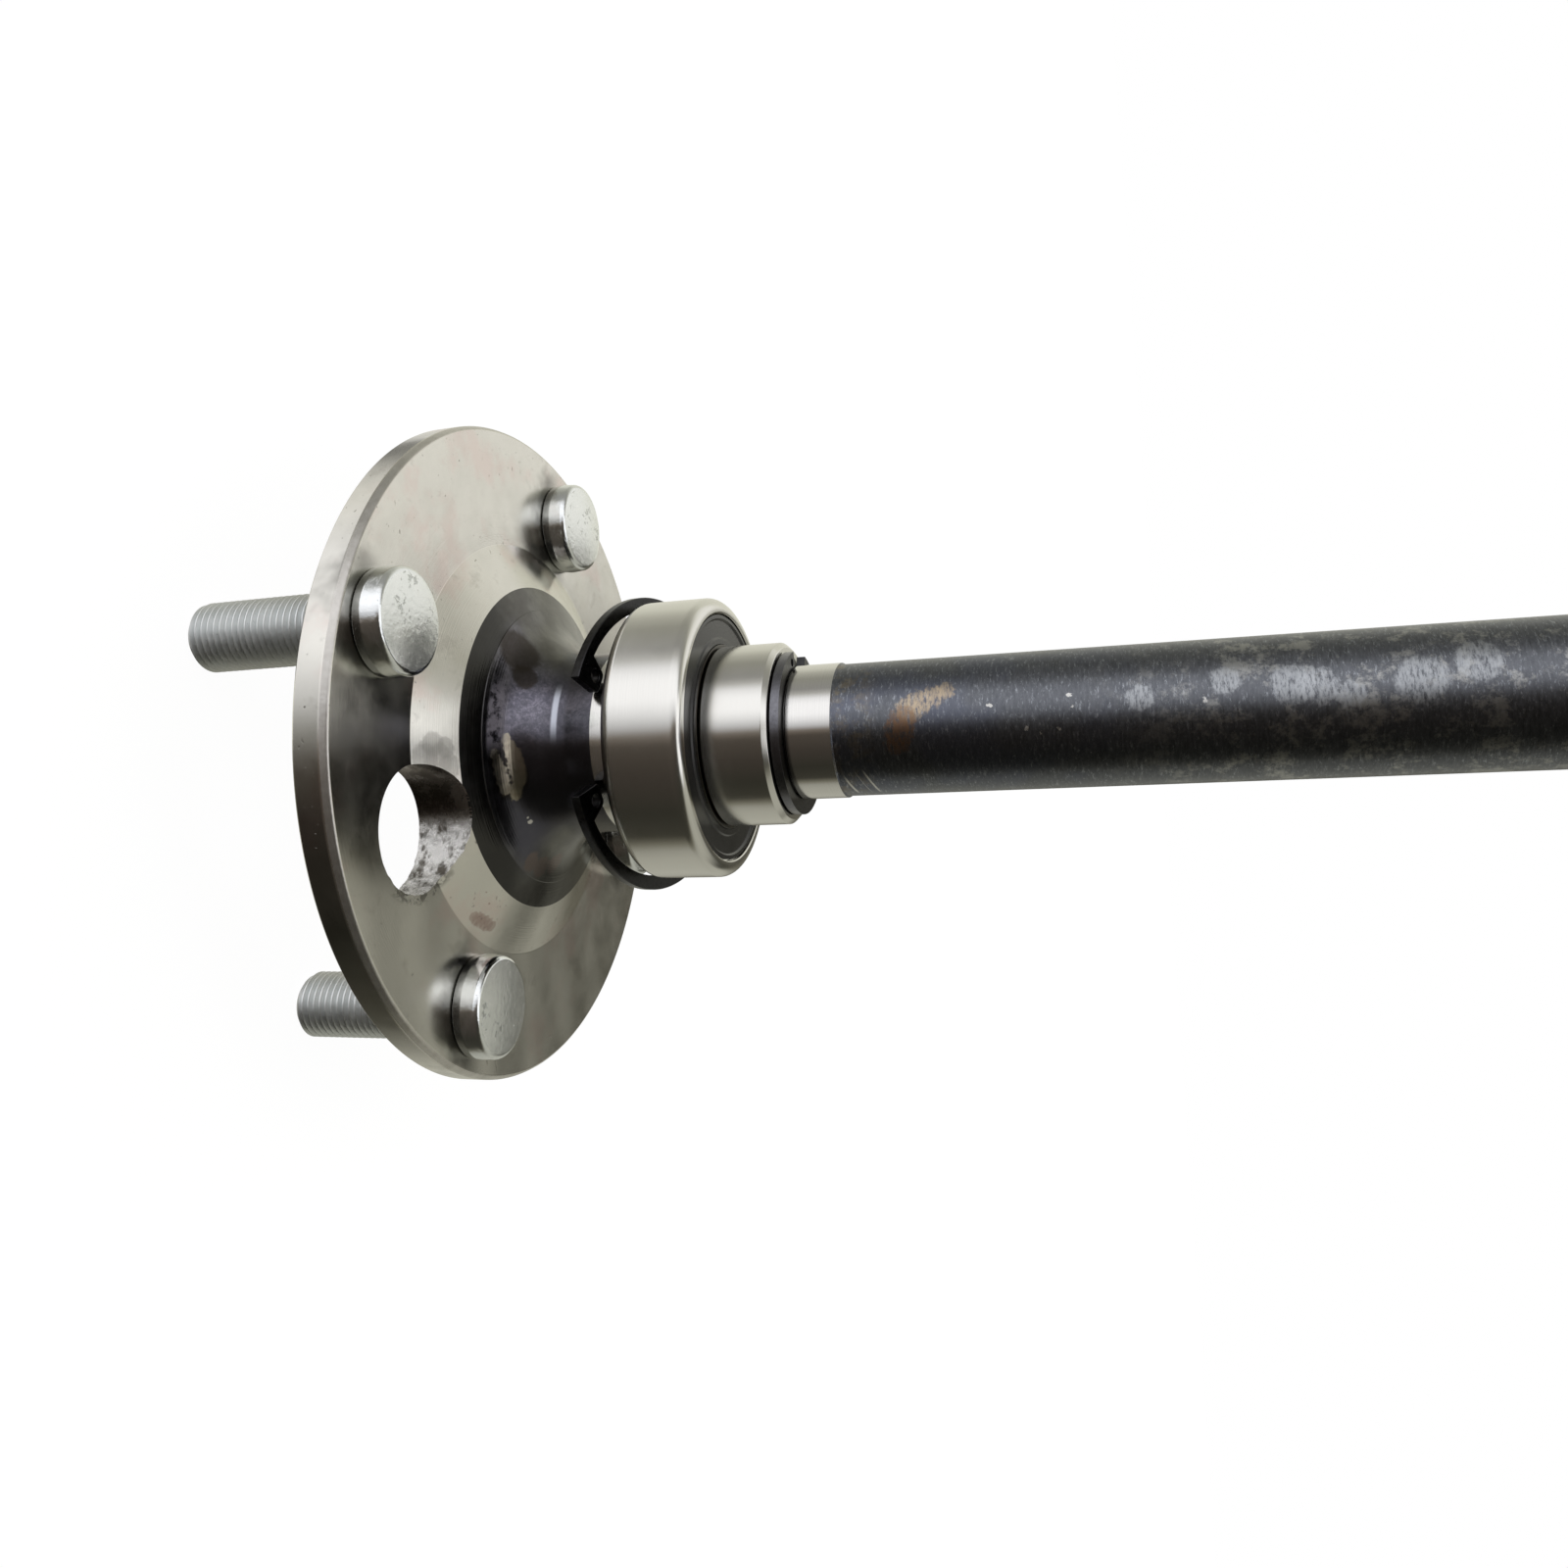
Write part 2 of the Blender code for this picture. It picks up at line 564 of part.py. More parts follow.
def build_collar():
    bore_r = BEARING_BORE / 2
    outer_r = bore_r + COLLAR_WALL
    profile = [
        (outer_r - COLLAR_EDGE, COLLAR_TOP_LEVEL),
        (outer_r, COLLAR_TOP_LEVEL - COLLAR_EDGE),
        (outer_r, COLLAR_LEVEL + COLLAR_BACK_EDGE),
        (outer_r - COLLAR_BACK_EDGE, COLLAR_LEVEL),
        (bore_r + COLLAR_BACK_EDGE, COLLAR_LEVEL),
        (bore_r, COLLAR_LEVEL + COLLAR_BACK_EDGE),
        (bore_r, COLLAR_TOP_LEVEL - COLLAR_BACK_EDGE),
        (bore_r + COLLAR_BACK_EDGE, COLLAR_TOP_LEVEL),
    ]
    collar = turned("bearing_collar", profile, BEARING_SEGMENTS, PARTS, GROUND_STEEL)
    shade_round(freeze(collar).data)


def plier_hole(x, y, radius):
    return [(x + radius * cos(angle), y + radius * sin(angle))
            for angle in even_steps(0, 2 * pi, PLIER_HOLE_SEGMENTS)[:-1]]


# The external ring: an even band with a plier hole near each of its two ends
def build_shaft_ring():
    inner_r = GROOVE_R + SEAT_GAP
    outer_r = inner_r + SHAFT_RING_BAND
    start = SHAFT_RING_ANGLE + SHAFT_RING_GAP / 2
    end = start + 2 * pi - SHAFT_RING_GAP
    outer = [polar(outer_r, angle) for angle in even_steps(start, end, RING_INNER_STEPS)]
    inner = [polar(inner_r, angle) for angle in even_steps(end, start, RING_INNER_STEPS)]
    hole_r = SHAFT_RING_HOLE_DIA / 2
    middle_r = (outer_r + inner_r) / 2
    inset = asin((hole_r + SHAFT_RING_HOLE_WALL) / middle_r)
    holes = [plier_hole(*polar(middle_r, angle), hole_r) for angle in (start + inset, end - inset)]
    ring = extruded("shaft_snap_ring", [outer + inner] + holes, FACE_Z + SHAFT_RING_LEVEL,
                    SHAFT_RING_THICK, SPRING_STEEL)
    shade_round(ring.data)


# The internal ring: thick opposite its gap, thin beside it, with a lug at each end. Angles here
# are measured from the middle of the gap
def tube_ring_outlines(outer_r, lug_tip_r):
    inner_r = outer_r - TUBE_RING_BAND
    half_gap = TUBE_RING_GAP / 2
    lug_root = half_gap + TUBE_RING_LUG_WIDE
    corner = TUBE_RING_LUG_CORNER
    turn = corner / lug_tip_r

    def inner_point(angle):
        across = TUBE_RING_INNER_SHIFT * sin(angle)
        return polar(TUBE_RING_INNER_SHIFT * cos(angle) + sqrt(inner_r ** 2 - across ** 2), angle)

    outer = [polar(outer_r, angle)
             for angle in even_steps(half_gap, 2 * pi - half_gap, RING_OUTER_STEPS)]
    inner = [inner_point(angle)
             for angle in even_steps(2 * pi - lug_root, lug_root, RING_INNER_STEPS)]
    near_lug = [polar(lug_tip_r + corner, lug_root - turn), polar(lug_tip_r, lug_root - 2 * turn),
                polar(lug_tip_r, half_gap + turn), polar(lug_tip_r + corner, half_gap)]
    far_lug = [(x, -y) for x, y in reversed(near_lug)]
    hole_r = TUBE_RING_HOLE_DIA / 2
    hole_x, hole_y = polar(lug_tip_r + hole_r + TUBE_RING_HOLE_WALL, (half_gap + lug_root) / 2)
    holes = [plier_hole(hole_x, side * hole_y, hole_r) for side in (1, -1)]
    return [outer + far_lug + inner + near_lug] + holes


def level_under_bearing(radius):
    """The highest place at a radius that keeps the loose ring's gap below the bearing's corner."""
    reach = radius - (BEARING_R - BEARING_CORNER)
    corner = BEARING_CORNER + TUBE_RING_BEARING_GAP
    if reach >= corner:
        return SHAFT_END_LEVEL
    return BEARING_LEVEL + BEARING_CORNER - sqrt(corner ** 2 - max(reach, 0) ** 2)


# The ring is laid tilted and off centre, then lifted until it nearly meets the bearing
def build_tube_ring():
    outer_r = BEARING_R + TUBE_RING_OVERSIZE
    lug_tip_r = SHOULDER_R + TUBE_RING_LUG_GAP + TUBE_RING_OFFSET
    ring = extruded("housing_snap_ring", tube_ring_outlines(outer_r, lug_tip_r),
                    -TUBE_RING_THICK / 2, TUBE_RING_THICK, SPRING_STEEL)
    place = Matrix.Translation((TUBE_RING_OFFSET, -TUBE_RING_SIDE, 0))
    place = place @ Matrix.Rotation(-TUBE_RING_TILT, 4, 'Y')
    place = place @ Matrix.Rotation(TUBE_RING_ANGLE, 4, 'Z')
    ring.data.transform(place @ ring.matrix_world)
    ring.matrix_world = Matrix.Identity(4)
    lift = min(level_under_bearing(hypot(vert.co.x, vert.co.y)) - vert.co.z
               for vert in ring.data.vertices)
    ring.data.transform(Matrix.Translation((0, 0, FACE_Z + lift)))
    shade_round(ring.data)


build_axle()
build_studs()
build_outer_ring()
build_inner_ring()
build_balls()
build_cage()
build_seal("bearing_seal_inboard", BEARING_TOP_LEVEL - SEAL_RECESS, 1)
build_seal("bearing_seal_outboard", BEARING_LEVEL + SEAL_RECESS, -1)
build_collar()
build_shaft_ring()
build_tube_ring()
bpy.context.view_layer.update()
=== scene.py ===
# Rear axle shaft of a small utility vehicle: one steel forging with its wheel flange, four
# pressed wheel studs, a sealed ball bearing held by a press-on collar, and two snap rings.
# The axle's axis is +Z. It stands on the tips of its studs, with the splined end up.

from math import acos, atan2, ceil, cos, pi, radians, sin, sqrt, tan

import bmesh
import bpy
from mathutils import Matrix, Vector, noise


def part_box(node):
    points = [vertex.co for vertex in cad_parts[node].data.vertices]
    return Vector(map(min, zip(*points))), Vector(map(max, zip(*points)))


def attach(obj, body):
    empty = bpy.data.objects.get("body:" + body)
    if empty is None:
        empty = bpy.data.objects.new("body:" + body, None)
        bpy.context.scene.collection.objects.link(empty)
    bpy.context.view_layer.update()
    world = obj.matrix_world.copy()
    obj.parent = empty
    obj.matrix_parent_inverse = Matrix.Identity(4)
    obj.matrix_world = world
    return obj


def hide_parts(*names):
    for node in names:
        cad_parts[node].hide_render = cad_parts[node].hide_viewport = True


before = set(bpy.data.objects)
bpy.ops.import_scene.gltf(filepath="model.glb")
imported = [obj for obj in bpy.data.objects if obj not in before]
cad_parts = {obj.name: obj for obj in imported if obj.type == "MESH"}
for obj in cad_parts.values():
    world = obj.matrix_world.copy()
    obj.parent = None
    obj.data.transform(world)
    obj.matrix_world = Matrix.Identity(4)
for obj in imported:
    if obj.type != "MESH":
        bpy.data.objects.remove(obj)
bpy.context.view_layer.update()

MM = 0.001

# The studio. White paper lies under the stud tips. What the bright metal mirrors is the room:
# a window high on the camera's side, a dark brown room below it, and pale paper further down.
# Its bands were set until the metal mirrored them as in the photo.
PAPER_SIZE = 60.0
PAPER_LEVEL = -0.2 * MM
PAPER_SHADOW = 0.10              # how much of the paper's own shading the camera sees
PAPER_GLOW = 1.07
PAPER_COLOR = (0.86, 0.86, 0.85, 1)
CAMERA_PLACE = (-227.87 * MM, 6.0 * MM, 155.75 * MM)
CAMERA_TURN = (radians(11.834), radians(-71.897), radians(-11.263))
CAMERA_LENS = 29.553
CAMERA_SHIFT = (0.0208, -0.0679)
FULL_TURN = 360.0

# Degrees around the axle: 0 is the camera's side, 90 is the picture's top. Each place holds the
# light's strength and its tint
COOL, PLAIN, WARM = (1.0, 1.0, 1.03), (1.0, 0.99, 0.95), (1.0, 0.99, 0.86)
BROWN, OLIVE = (1.0, 0.84, 0.70), (1.0, 0.95, 0.74)
SIDE_LIGHT = [(-180, 0.13, OLIVE), (-163, 0.14, OLIVE), (-150, 0.44, WARM), (-141, 0.48, WARM),
              (-112, 0.44, WARM), (-101, 0.38, WARM), (-92, 0.19, OLIVE), (-84, 0.05, OLIVE),
              (-60, 0.036, OLIVE), (-30, 0.055, BROWN), (-3, 0.085, BROWN), (5, 0.20, BROWN),
              (12, 0.62, COOL), (22, 1.0, COOL), (32, 1.25, COOL), (50, 1.25, COOL),
              (60, 1.05, COOL), (70, 0.52, PLAIN), (79, 0.32, PLAIN), (104, 0.33, WARM),
              (121, 0.50, WARM), (136, 0.72, WARM), (180, 0.80, WARM)]
# What the flange's rim mirrors, lower down
RIM_LIGHT = [(-180, 0.13, OLIVE), (-160, 0.60, WARM), (-138, 0.56, WARM), (-118, 0.32, WARM),
             (-104, 0.06, OLIVE), (-60, 0.015, OLIVE), (-20, 0.024, BROWN), (0, 0.07, BROWN),
             (12, 0.35, PLAIN), (24, 0.80, COOL), (40, 1.25, COOL), (75, 1.2, COOL),
             (100, 1.0, PLAIN), (117, 0.80, PLAIN), (125, 0.20, PLAIN), (137, 0.20, PLAIN),
             (146, 0.90, PLAIN), (180, 0.80, WARM)]
RIM_STARTS = (-0.44, -0.50)
# Seen from the flange's face, the room past the splined end: how its strength changes with the
# part of the direction that runs along the axle, for the picture's top and for its bottom
HIGH_LIGHT = [(0.0, 0.96, PLAIN), (0.80, 0.94, PLAIN), (0.885, 0.58, WARM), (0.93, 0.85, PLAIN),
              (0.97, 1.3, COOL)]
LOW_LIGHT = [(0.0, 0.05, OLIVE), (0.405, 0.05, OLIVE), (0.44, 0.13, WARM), (0.49, 0.23, WARM),
             (0.55, 0.40, WARM), (0.75, 0.42, WARM), (0.88, 0.56, WARM), (0.93, 0.35, WARM),
             (0.97, 1.2, COOL)]
END_STARTS = (0.26, 0.36)
END_REACH = (112 / FULL_TURN, 158 / FULL_TURN)
LAMP_STARTS = (0.93, 0.97)
LAMP_GLOW = (1.3, 1.3, 1.32, 1)
WINDOW_LEAN = 20 / FULL_TURN
DOORWAY = (0.15, 0.142, 0.125, 1)
DOOR_TOP, DOOR_FOOT = (0.02, 0.115), (-0.055, -0.125)
DOOR_DEPTH = (0.66, 0.80)


def node(kind, inputs=None, tree=None, **settings):
    """A new shader node, in the tree that its linked inputs come from or in the one given."""
    inputs = inputs or {}
    linked = [value for value in inputs.values() if isinstance(value, bpy.types.NodeSocket)]
    tree = tree or linked[0].id_data
    made = tree.nodes.new("ShaderNode" + kind)
    for name, value in settings.items():
        setattr(made, name, value)
    for name, value in inputs.items():
        if isinstance(value, bpy.types.NodeSocket):
            tree.links.new(value, made.inputs[name])
        else:
            made.inputs[name].default_value = value
    return made


def math(operation, *values):
    return node("Math", dict(enumerate(values)), operation=operation).outputs[0]


def times(*values):
    product = values[0]
    for value in values[1:]:
        product = math("MULTIPLY", product, value)
    return product


def ramp(value, stops):
    made = node("ValToRGB", {0: value})
    elements = made.color_ramp.elements
    while len(elements) < len(stops):
        elements.new(1.0)
    for element, (place, color) in zip(elements, stops):
        element.position = place
        element.color = color
    return made.outputs["Color"]


def split(vector):
    return node("SeparateXYZ", {0: vector}).outputs


def fade(value, start, end):
    """0 before start, 1 after end, and smooth between; start may be the larger of the two."""
    made = node("MapRange", {"Value": value, "From Min": start, "From Max": end},
                interpolation_type="SMOOTHSTEP")
    return made.outputs["Result"]


def mix(share, first, second):
    made = node("Mix", {0: share, 6: first, 7: second}, data_type="RGBA")
    return made.outputs[2]


def light_ramp(value, places):
    return ramp(value, [(place, (*(strength * part for part in tint), 1))
                        for place, strength, tint in places])


def turn_ramp(turn, places):
    return light_ramp(turn, [(degrees / FULL_TURN + 0.5, strength, tint)
                             for degrees, strength, tint in places])


def light_the_room():
    world = bpy.data.worlds.new("room")
    bpy.context.scene.world = world
    world.use_nodes = True
    tree = world.node_tree
    tree.nodes.clear()
    direction = node("TexCoord", tree=tree).outputs["Generated"]
    part = split(direction)
    angle = math("ARCTAN2", part["Y"], times(part["X"], -1.0))
    rising = math("POWER", math("MAXIMUM", part["Z"], 0.0), 2.0)
    turn = math("MULTIPLY_ADD", angle, 0.5 / pi, 0.5)
    turn = math("MULTIPLY_ADD", rising, -WINDOW_LEAN, turn)
    sides = mix(fade(part["Z"], *RIM_STARTS), turn_ramp(turn, SIDE_LIGHT),
                turn_ramp(turn, RIM_LIGHT))
    high, low = light_ramp(part["Z"], HIGH_LIGHT), light_ramp(part["Z"], LOW_LIGHT)
    inside = fade(part["Z"], *reversed(DOOR_DEPTH))
    door = mix(inside, mix(fade(part["Y"], -0.05, 0.05), low, high), DOORWAY)
    ends = mix(fade(part["Y"], *DOOR_TOP), door, high)
    ends = mix(fade(part["Y"], *DOOR_FOOT), ends, low)
    away = math("ABSOLUTE", times(angle, 0.5 / pi))
    past = times(fade(part["Z"], *END_STARTS), fade(away, *END_REACH))
    room = mix(past, sides, ends)
    room = mix(fade(part["Z"], *LAMP_STARTS), room, LAMP_GLOW)
    seen = node("LightPath", tree=tree).outputs["Is Camera Ray"]
    lit = node("Background", {"Color": room, "Strength": 1.0})
    plain = node("Background", {"Color": (1, 1, 1, 1)}, tree)
    shown = node("MixShader", {0: seen, 1: lit.outputs[0], 2: plain.outputs[0]})
    node("OutputWorld", {"Surface": shown.outputs[0]})


def add_object(name, data):
    made = bpy.data.objects.new(name, data)
    bpy.context.scene.collection.objects.link(made)
    return made


def lay_the_paper():
    half = PAPER_SIZE / 2
    mesh = bpy.data.meshes.new("paper_floor")
    corners = [(-half, -half, PAPER_LEVEL), (half, -half, PAPER_LEVEL),
               (half, half, PAPER_LEVEL), (-half, half, PAPER_LEVEL)]
    mesh.from_pydata(corners, [], [(0, 1, 2, 3)])
    paper = add_object("paper_floor", mesh)
    paper.visible_glossy = False
    finish = bpy.data.materials.new("white_paper")
    finish.use_nodes = True
    tree = finish.node_tree
    tree.nodes.clear()
    seen = node("LightPath", tree=tree).outputs["Is Camera Ray"]
    share = times(seen, 1.0 - PAPER_SHADOW)
    shaded = node("BsdfDiffuse", {"Color": PAPER_COLOR}, tree)
    white = node("Emission", {"Color": (1, 1, 1, 1), "Strength": PAPER_GLOW}, tree)
    shown = node("MixShader", {0: share, 1: shaded.outputs[0], 2: white.outputs[0]})
    node("OutputMaterial", {"Surface": shown.outputs[0]})
    mesh.materials.append(finish)


def set_up_camera():
    camera = add_object("camera", bpy.data.cameras.new("camera"))
    camera.location = CAMERA_PLACE
    camera.rotation_euler = CAMERA_TURN
    camera.data.lens = CAMERA_LENS
    camera.data.shift_x, camera.data.shift_y = CAMERA_SHIFT
    camera.data.clip_start = 0.01
    bpy.context.scene.camera = camera


light_the_room()
lay_the_paper()
set_up_camera()
bpy.context.scene.view_settings.view_transform = "Standard"

# The axle: one medium-carbon steel forging, turned all over, blackened, and then faced on the
# flange and ground where the bearing, the collar and the oil seal run. Its inner end is hobbed.
FACE = 35.0 * MM                 # height of the flange's inboard face
FLANGE_R = 62.7 * MM
FLANGE_THICK = 6.4 * MM
CONE_FOOT_R = 39.9 * MM
CONE_TOP_R = 31.1 * MM
CONE_HEIGHT = 4.2 * MM
RIDGE_R = 26.5 * MM              # where the cut that faces the flare's foot ends, in a fine step
RIDGE_STEP = 0.12 * MM
FLANK_ANGLE = radians(69)
FLARE_ROUND = 12.0 * MM
SHOULDER_R = 17.1 * MM
NECK_STARTS = FACE + 22.3 * MM   # the neck is ground from here to the bearing
JOURNAL_R = 12.25 * MM
GROOVE_R = 11.3 * MM
SHAFT_R = 11.95 * MM
BEARING_FOOT = FACE + 27.5 * MM
GROOVE_FOOT = FACE + 55.15 * MM
GROOVE_TOP = FACE + 57.35 * MM
SEAT_END = FACE + 65.6 * MM
PILOT_R = 20.0 * MM
PILOT_HEIGHT = 3.2 * MM
CENTRE_R = 3.5 * MM
CENTRE_DEPTH = CENTRE_R / tan(radians(30))
STUD_CIRCLE_R = 50.8 * MM
STUD_ANGLES = [radians(153.5 + 90 * i) for i in range(4)]
STUD_HOLE_R = 6.85 * MM
ACCESS_R = 10.9 * MM
ACCESS_CENTRE_R = 41.0 * MM
ACCESS_ANGLE = radians(196.7)
SPLINE_TEETH = 24
SPLINE_LENGTH = 44.0 * MM
SPLINE_DEPTH = 1.35 * MM
SPLINE_ROOT = 0.3 * MM
SPLINE_FLANK = radians(30)
HOB_R = 32.0 * MM
AXLE_AROUND = 288
CLEARANCE = 1.0 * MM


def polar(radius, angle):
    return radius * cos(angle), radius * sin(angle)


def soft_profile(corners, finest=0.5 * MM):
    """Points of a turned outline whose corners are (radius, height, rounding)."""
    points = []
    for i, (r, z, rounding) in enumerate(corners):
        here = Vector((r, z))
        if not rounding or i in (0, len(corners) - 1):
            points.append(here)
            continue
        before = (Vector(corners[i - 1][:2]) - here).normalized()
        after = (Vector(corners[i + 1][:2]) - here).normalized()
        half = acos(before.dot(after)) / 2
        centre = here + (before + after).normalized() * (rounding / sin(half))
        start = here + before * (rounding / tan(half)) - centre
        end = here + after * (rounding / tan(half)) - centre
        first = atan2(start.y, start.x)
        sweep = (atan2(end.y, end.x) - first + pi) % (2 * pi) - pi
        steps = max(3, ceil(abs(sweep) * rounding / finest))
        for step in range(steps + 1):
            points.append(centre + Vector(polar(rounding, first + sweep * step / steps)))
    return points


def close_mesh(shape, name):
    mesh = bpy.data.meshes.new(name)
    shape.to_mesh(mesh)
    shape.free()
    return mesh


def lathe(name, profile, around, closed=False):
    """A turned mesh from points (radius, height); a closed profile makes a ring."""
    shape = bmesh.new()
    rings = []
    for r, z in profile:
        if r < 1e-7:
            rings.append([shape.verts.new((0, 0, z))] * around)
        else:
            rings.append([shape.verts.new((*polar(r, 2 * pi * i / around), z))
                          for i in range(around)])
    pairs = list(zip(rings, rings[1:]))
    if closed:
        pairs.append((rings[-1], rings[0]))
    for upper, lower in pairs:
        for i in range(around):
            j = (i + 1) % around
            loop = []
            for vert in (upper[i], lower[i], lower[j], upper[j]):
                if vert not in loop:
                    loop.append(vert)
            shape.faces.new(loop)
    bmesh.ops.recalc_face_normals(shape, faces=shape.faces)
    mesh = close_mesh(shape, name)
    made = add_object(name, mesh)
    return made


def freeze(made):
    bpy.context.view_layer.update()
    shapes = bpy.context.evaluated_depsgraph_get()
    fixed = bpy.data.meshes.new_from_object(made.evaluated_get(shapes))
    made.modifiers.clear()
    made.data = fixed


def cut_away(made, cutters):
    for cutter in cutters:
        boolean = made.modifiers.new("cut", "BOOLEAN")
        boolean.operation = "DIFFERENCE"
        boolean.solver = "EXACT"
        boolean.object = cutter
    freeze(made)
    for cutter in cutters:
        bpy.data.objects.remove(cutter)


def smooth(made, angle=radians(32)):
    made.data.shade_smooth()
    made.data.set_sharp_from_angle(angle=angle)
    weighted = made.modifiers.new("even_shading", "WEIGHTED_NORMAL")
    weighted.keep_sharp = True


def axle_profile():
    top = frame_top
    ridge_z = FACE + CONE_HEIGHT + (CONE_TOP_R - RIDGE_R) / tan(FLANK_ANGLE)
    flare_z = FACE + CONE_HEIGHT + (CONE_TOP_R - SHOULDER_R) / tan(FLANK_ANGLE)
    web = FACE - FLANGE_THICK
    pilot = web - PILOT_HEIGHT
    corners = [
        (0, top - CENTRE_DEPTH, 0), (CENTRE_R, top, 0.2 * MM),
        (SHAFT_R - 1.4 * MM, top, 0.3 * MM), (SHAFT_R, top - 1.4 * MM, 0.3 * MM),
        (SHAFT_R, SEAT_END + 0.15 * MM, 0.1 * MM), (JOURNAL_R, SEAT_END - 0.15 * MM, 0.1 * MM),
        (JOURNAL_R, GROOVE_TOP, 0.12 * MM), (GROOVE_R, GROOVE_TOP, 0.15 * MM),
        (GROOVE_R, GROOVE_FOOT, 0.15 * MM), (JOURNAL_R, GROOVE_FOOT, 0.12 * MM),
        (JOURNAL_R, BEARING_FOOT, 0.8 * MM), (SHOULDER_R, BEARING_FOOT, 0.5 * MM),
        (SHOULDER_R, NECK_STARTS, 0), (SHOULDER_R, flare_z, FLARE_ROUND),
        (RIDGE_R, ridge_z, 0.1 * MM), (RIDGE_R, ridge_z - RIDGE_STEP, 0.05 * MM),
        (CONE_TOP_R, FACE + CONE_HEIGHT - RIDGE_STEP, 0.12 * MM),
        (CONE_FOOT_R, FACE, 0.6 * MM),
        (FLANGE_R - 0.6 * MM, FACE, 0.7 * MM), (FLANGE_R, FACE - 1.25 * MM, 1.2 * MM),
        (FLANGE_R, web + 0.6 * MM, 0.2 * MM), (FLANGE_R - 0.6 * MM, web, 0.2 * MM),
        (PILOT_R, web, 0.4 * MM), (PILOT_R, pilot + 0.7 * MM, 0.2 * MM),
        (PILOT_R - 0.7 * MM, pilot, 0.2 * MM), (CENTRE_R, pilot, 0.2 * MM),
        (0, pilot + CENTRE_DEPTH, 0),
    ]
    return soft_profile(corners)


def round_cutter(radius, x, y, bottom, top, around):
    cutter = lathe("cutter", [(0, top), (radius, top), (radius, bottom), (0, bottom)], around)
    cutter.location = (x, y, 0)
    return cutter


# The lower wall of the access hole is torn and pitted, the upper wall is smooth
TORN_DEPTH = 0.32 * MM
TORN_FROM, TORN_TO = radians(-175), radians(15)


def torn_cutter(x, y, bottom, top):
    rows = 40
    profile = [(0, top)]
    profile += [(ACCESS_R, top + (bottom - top) * i / rows) for i in range(rows + 1)]
    profile.append((0, bottom))
    cutter = lathe("cutter", profile, 240)
    for vert in cutter.data.vertices:
        point = vert.co.copy()
        if point.xy.length < ACCESS_R / 2:
            continue
        angle = atan2(point.y, point.x)
        share = max(0, min(1, (angle - TORN_FROM) / 0.6, (TORN_TO - angle) / 0.6))
        share = share * share * (3 - 2 * share)
        rough = noise.fractal(point / (2.2 * MM), 0.8, 2.0, 3) + 0.3
        vert.co += Vector((*point.xy.normalized(), 0)) * TORN_DEPTH * share * rough
    cutter.location = (x, y, 0)
    return cutter


def spline_cutter(top):
    root_r = SHAFT_R - SPLINE_DEPTH
    tall = SPLINE_DEPTH + CLEARANCE
    runout = acos(1 - tall / HOB_R)
    straight_end = top - SPLINE_LENGTH + HOB_R * sin(runout)
    path = [(root_r, top + CLEARANCE)]
    for i in range(13):
        angle = runout * i / 12
        path.append((root_r + HOB_R * (1 - cos(angle)), straight_end - HOB_R * sin(angle)))
    shape = bmesh.new()
    for tooth in range(SPLINE_TEETH):
        turn = Matrix.Rotation(2 * pi * tooth / SPLINE_TEETH, 3, "Z")
        sections = []
        for floor_r, z in path:
            half = SPLINE_ROOT / 2 + (floor_r - root_r) * tan(SPLINE_FLANK)
            wide = half + tall * tan(SPLINE_FLANK)
            loop = [(floor_r, -half), (floor_r + tall, -wide), (floor_r + tall, wide),
                    (floor_r, half)]
            sections.append([shape.verts.new(turn @ Vector((r, w, z))) for r, w in loop])
        for upper, lower in zip(sections, sections[1:]):
            for i in range(4):
                shape.faces.new((upper[i], upper[i - 1], lower[i - 1], lower[i]))
        shape.faces.new(sections[0])
        shape.faces.new(sections[-1])
    bmesh.ops.recalc_face_normals(shape, faces=shape.faces)
    mesh = close_mesh(shape, "cutter")
    cutter = add_object("cutter", mesh)
    return cutter


def finish(name, color, roughness, metallic=1.0, brushed=0.0):
    """A new material; what is the same all over is set on the shader's own sockets."""
    material = bpy.data.materials.new(name)
    material.use_nodes = True
    tree = material.node_tree
    shader = tree.nodes["Principled BSDF"]
    shader.inputs["Base Color"].default_value = (*color, 1)
    shader.inputs["Roughness"].default_value = roughness
    shader.inputs["Metallic"].default_value = metallic
    shader.inputs["Anisotropic"].default_value = brushed
    if brushed:
        shader.inputs["Anisotropic Rotation"].default_value = 0.25
        tangent = node("Tangent", tree=tree, direction_type="RADIAL", axis="Z")
        tree.links.new(tangent.outputs[0], shader.inputs["Tangent"])
    return material


def whereabouts(material):
    """The point on the piece, its height, and its distance from the piece's axis."""
    point = node("TexCoord", tree=material.node_tree).outputs["Object"]
    part = split(point)
    flat = node("CombineXYZ", {0: part["X"], 1: part["Y"]}).outputs[0]
    radius = node("VectorMath", {0: flat}, operation="LENGTH").outputs["Value"]
    return point, part["Z"], radius


def grain(point, size, detail=4.0, rough=0.6):
    made = node("TexNoise", {"Vector": point, "Scale": 1 / size,
                             "Detail": detail, "Roughness": rough})
    return made.outputs["Fac"]


def tool_lines(along, pitch, detail=3.0):
    """Fine lines that run round the piece, from a noise that only changes along one value."""
    made = node("TexNoise", {"W": along, "Scale": 1 / pitch, "Detail": detail},
                noise_dimensions="1D")
    return made.outputs["Fac"]


def dress(material, color=None, rough=None, relief=None, depth=0.0, metallic=None):
    """Links what changes over the surface; relief is depth high where it is 1."""
    inputs = material.node_tree.nodes["Principled BSDF"].inputs
    bump = relief and node("Bump", {"Height": relief, "Distance": depth}).outputs[0]
    for name, value in (("Base Color", color), ("Roughness", rough), ("Metallic", metallic),
                        ("Normal", bump)):
        if value:
            material.node_tree.links.new(value, inputs[name])
    return material


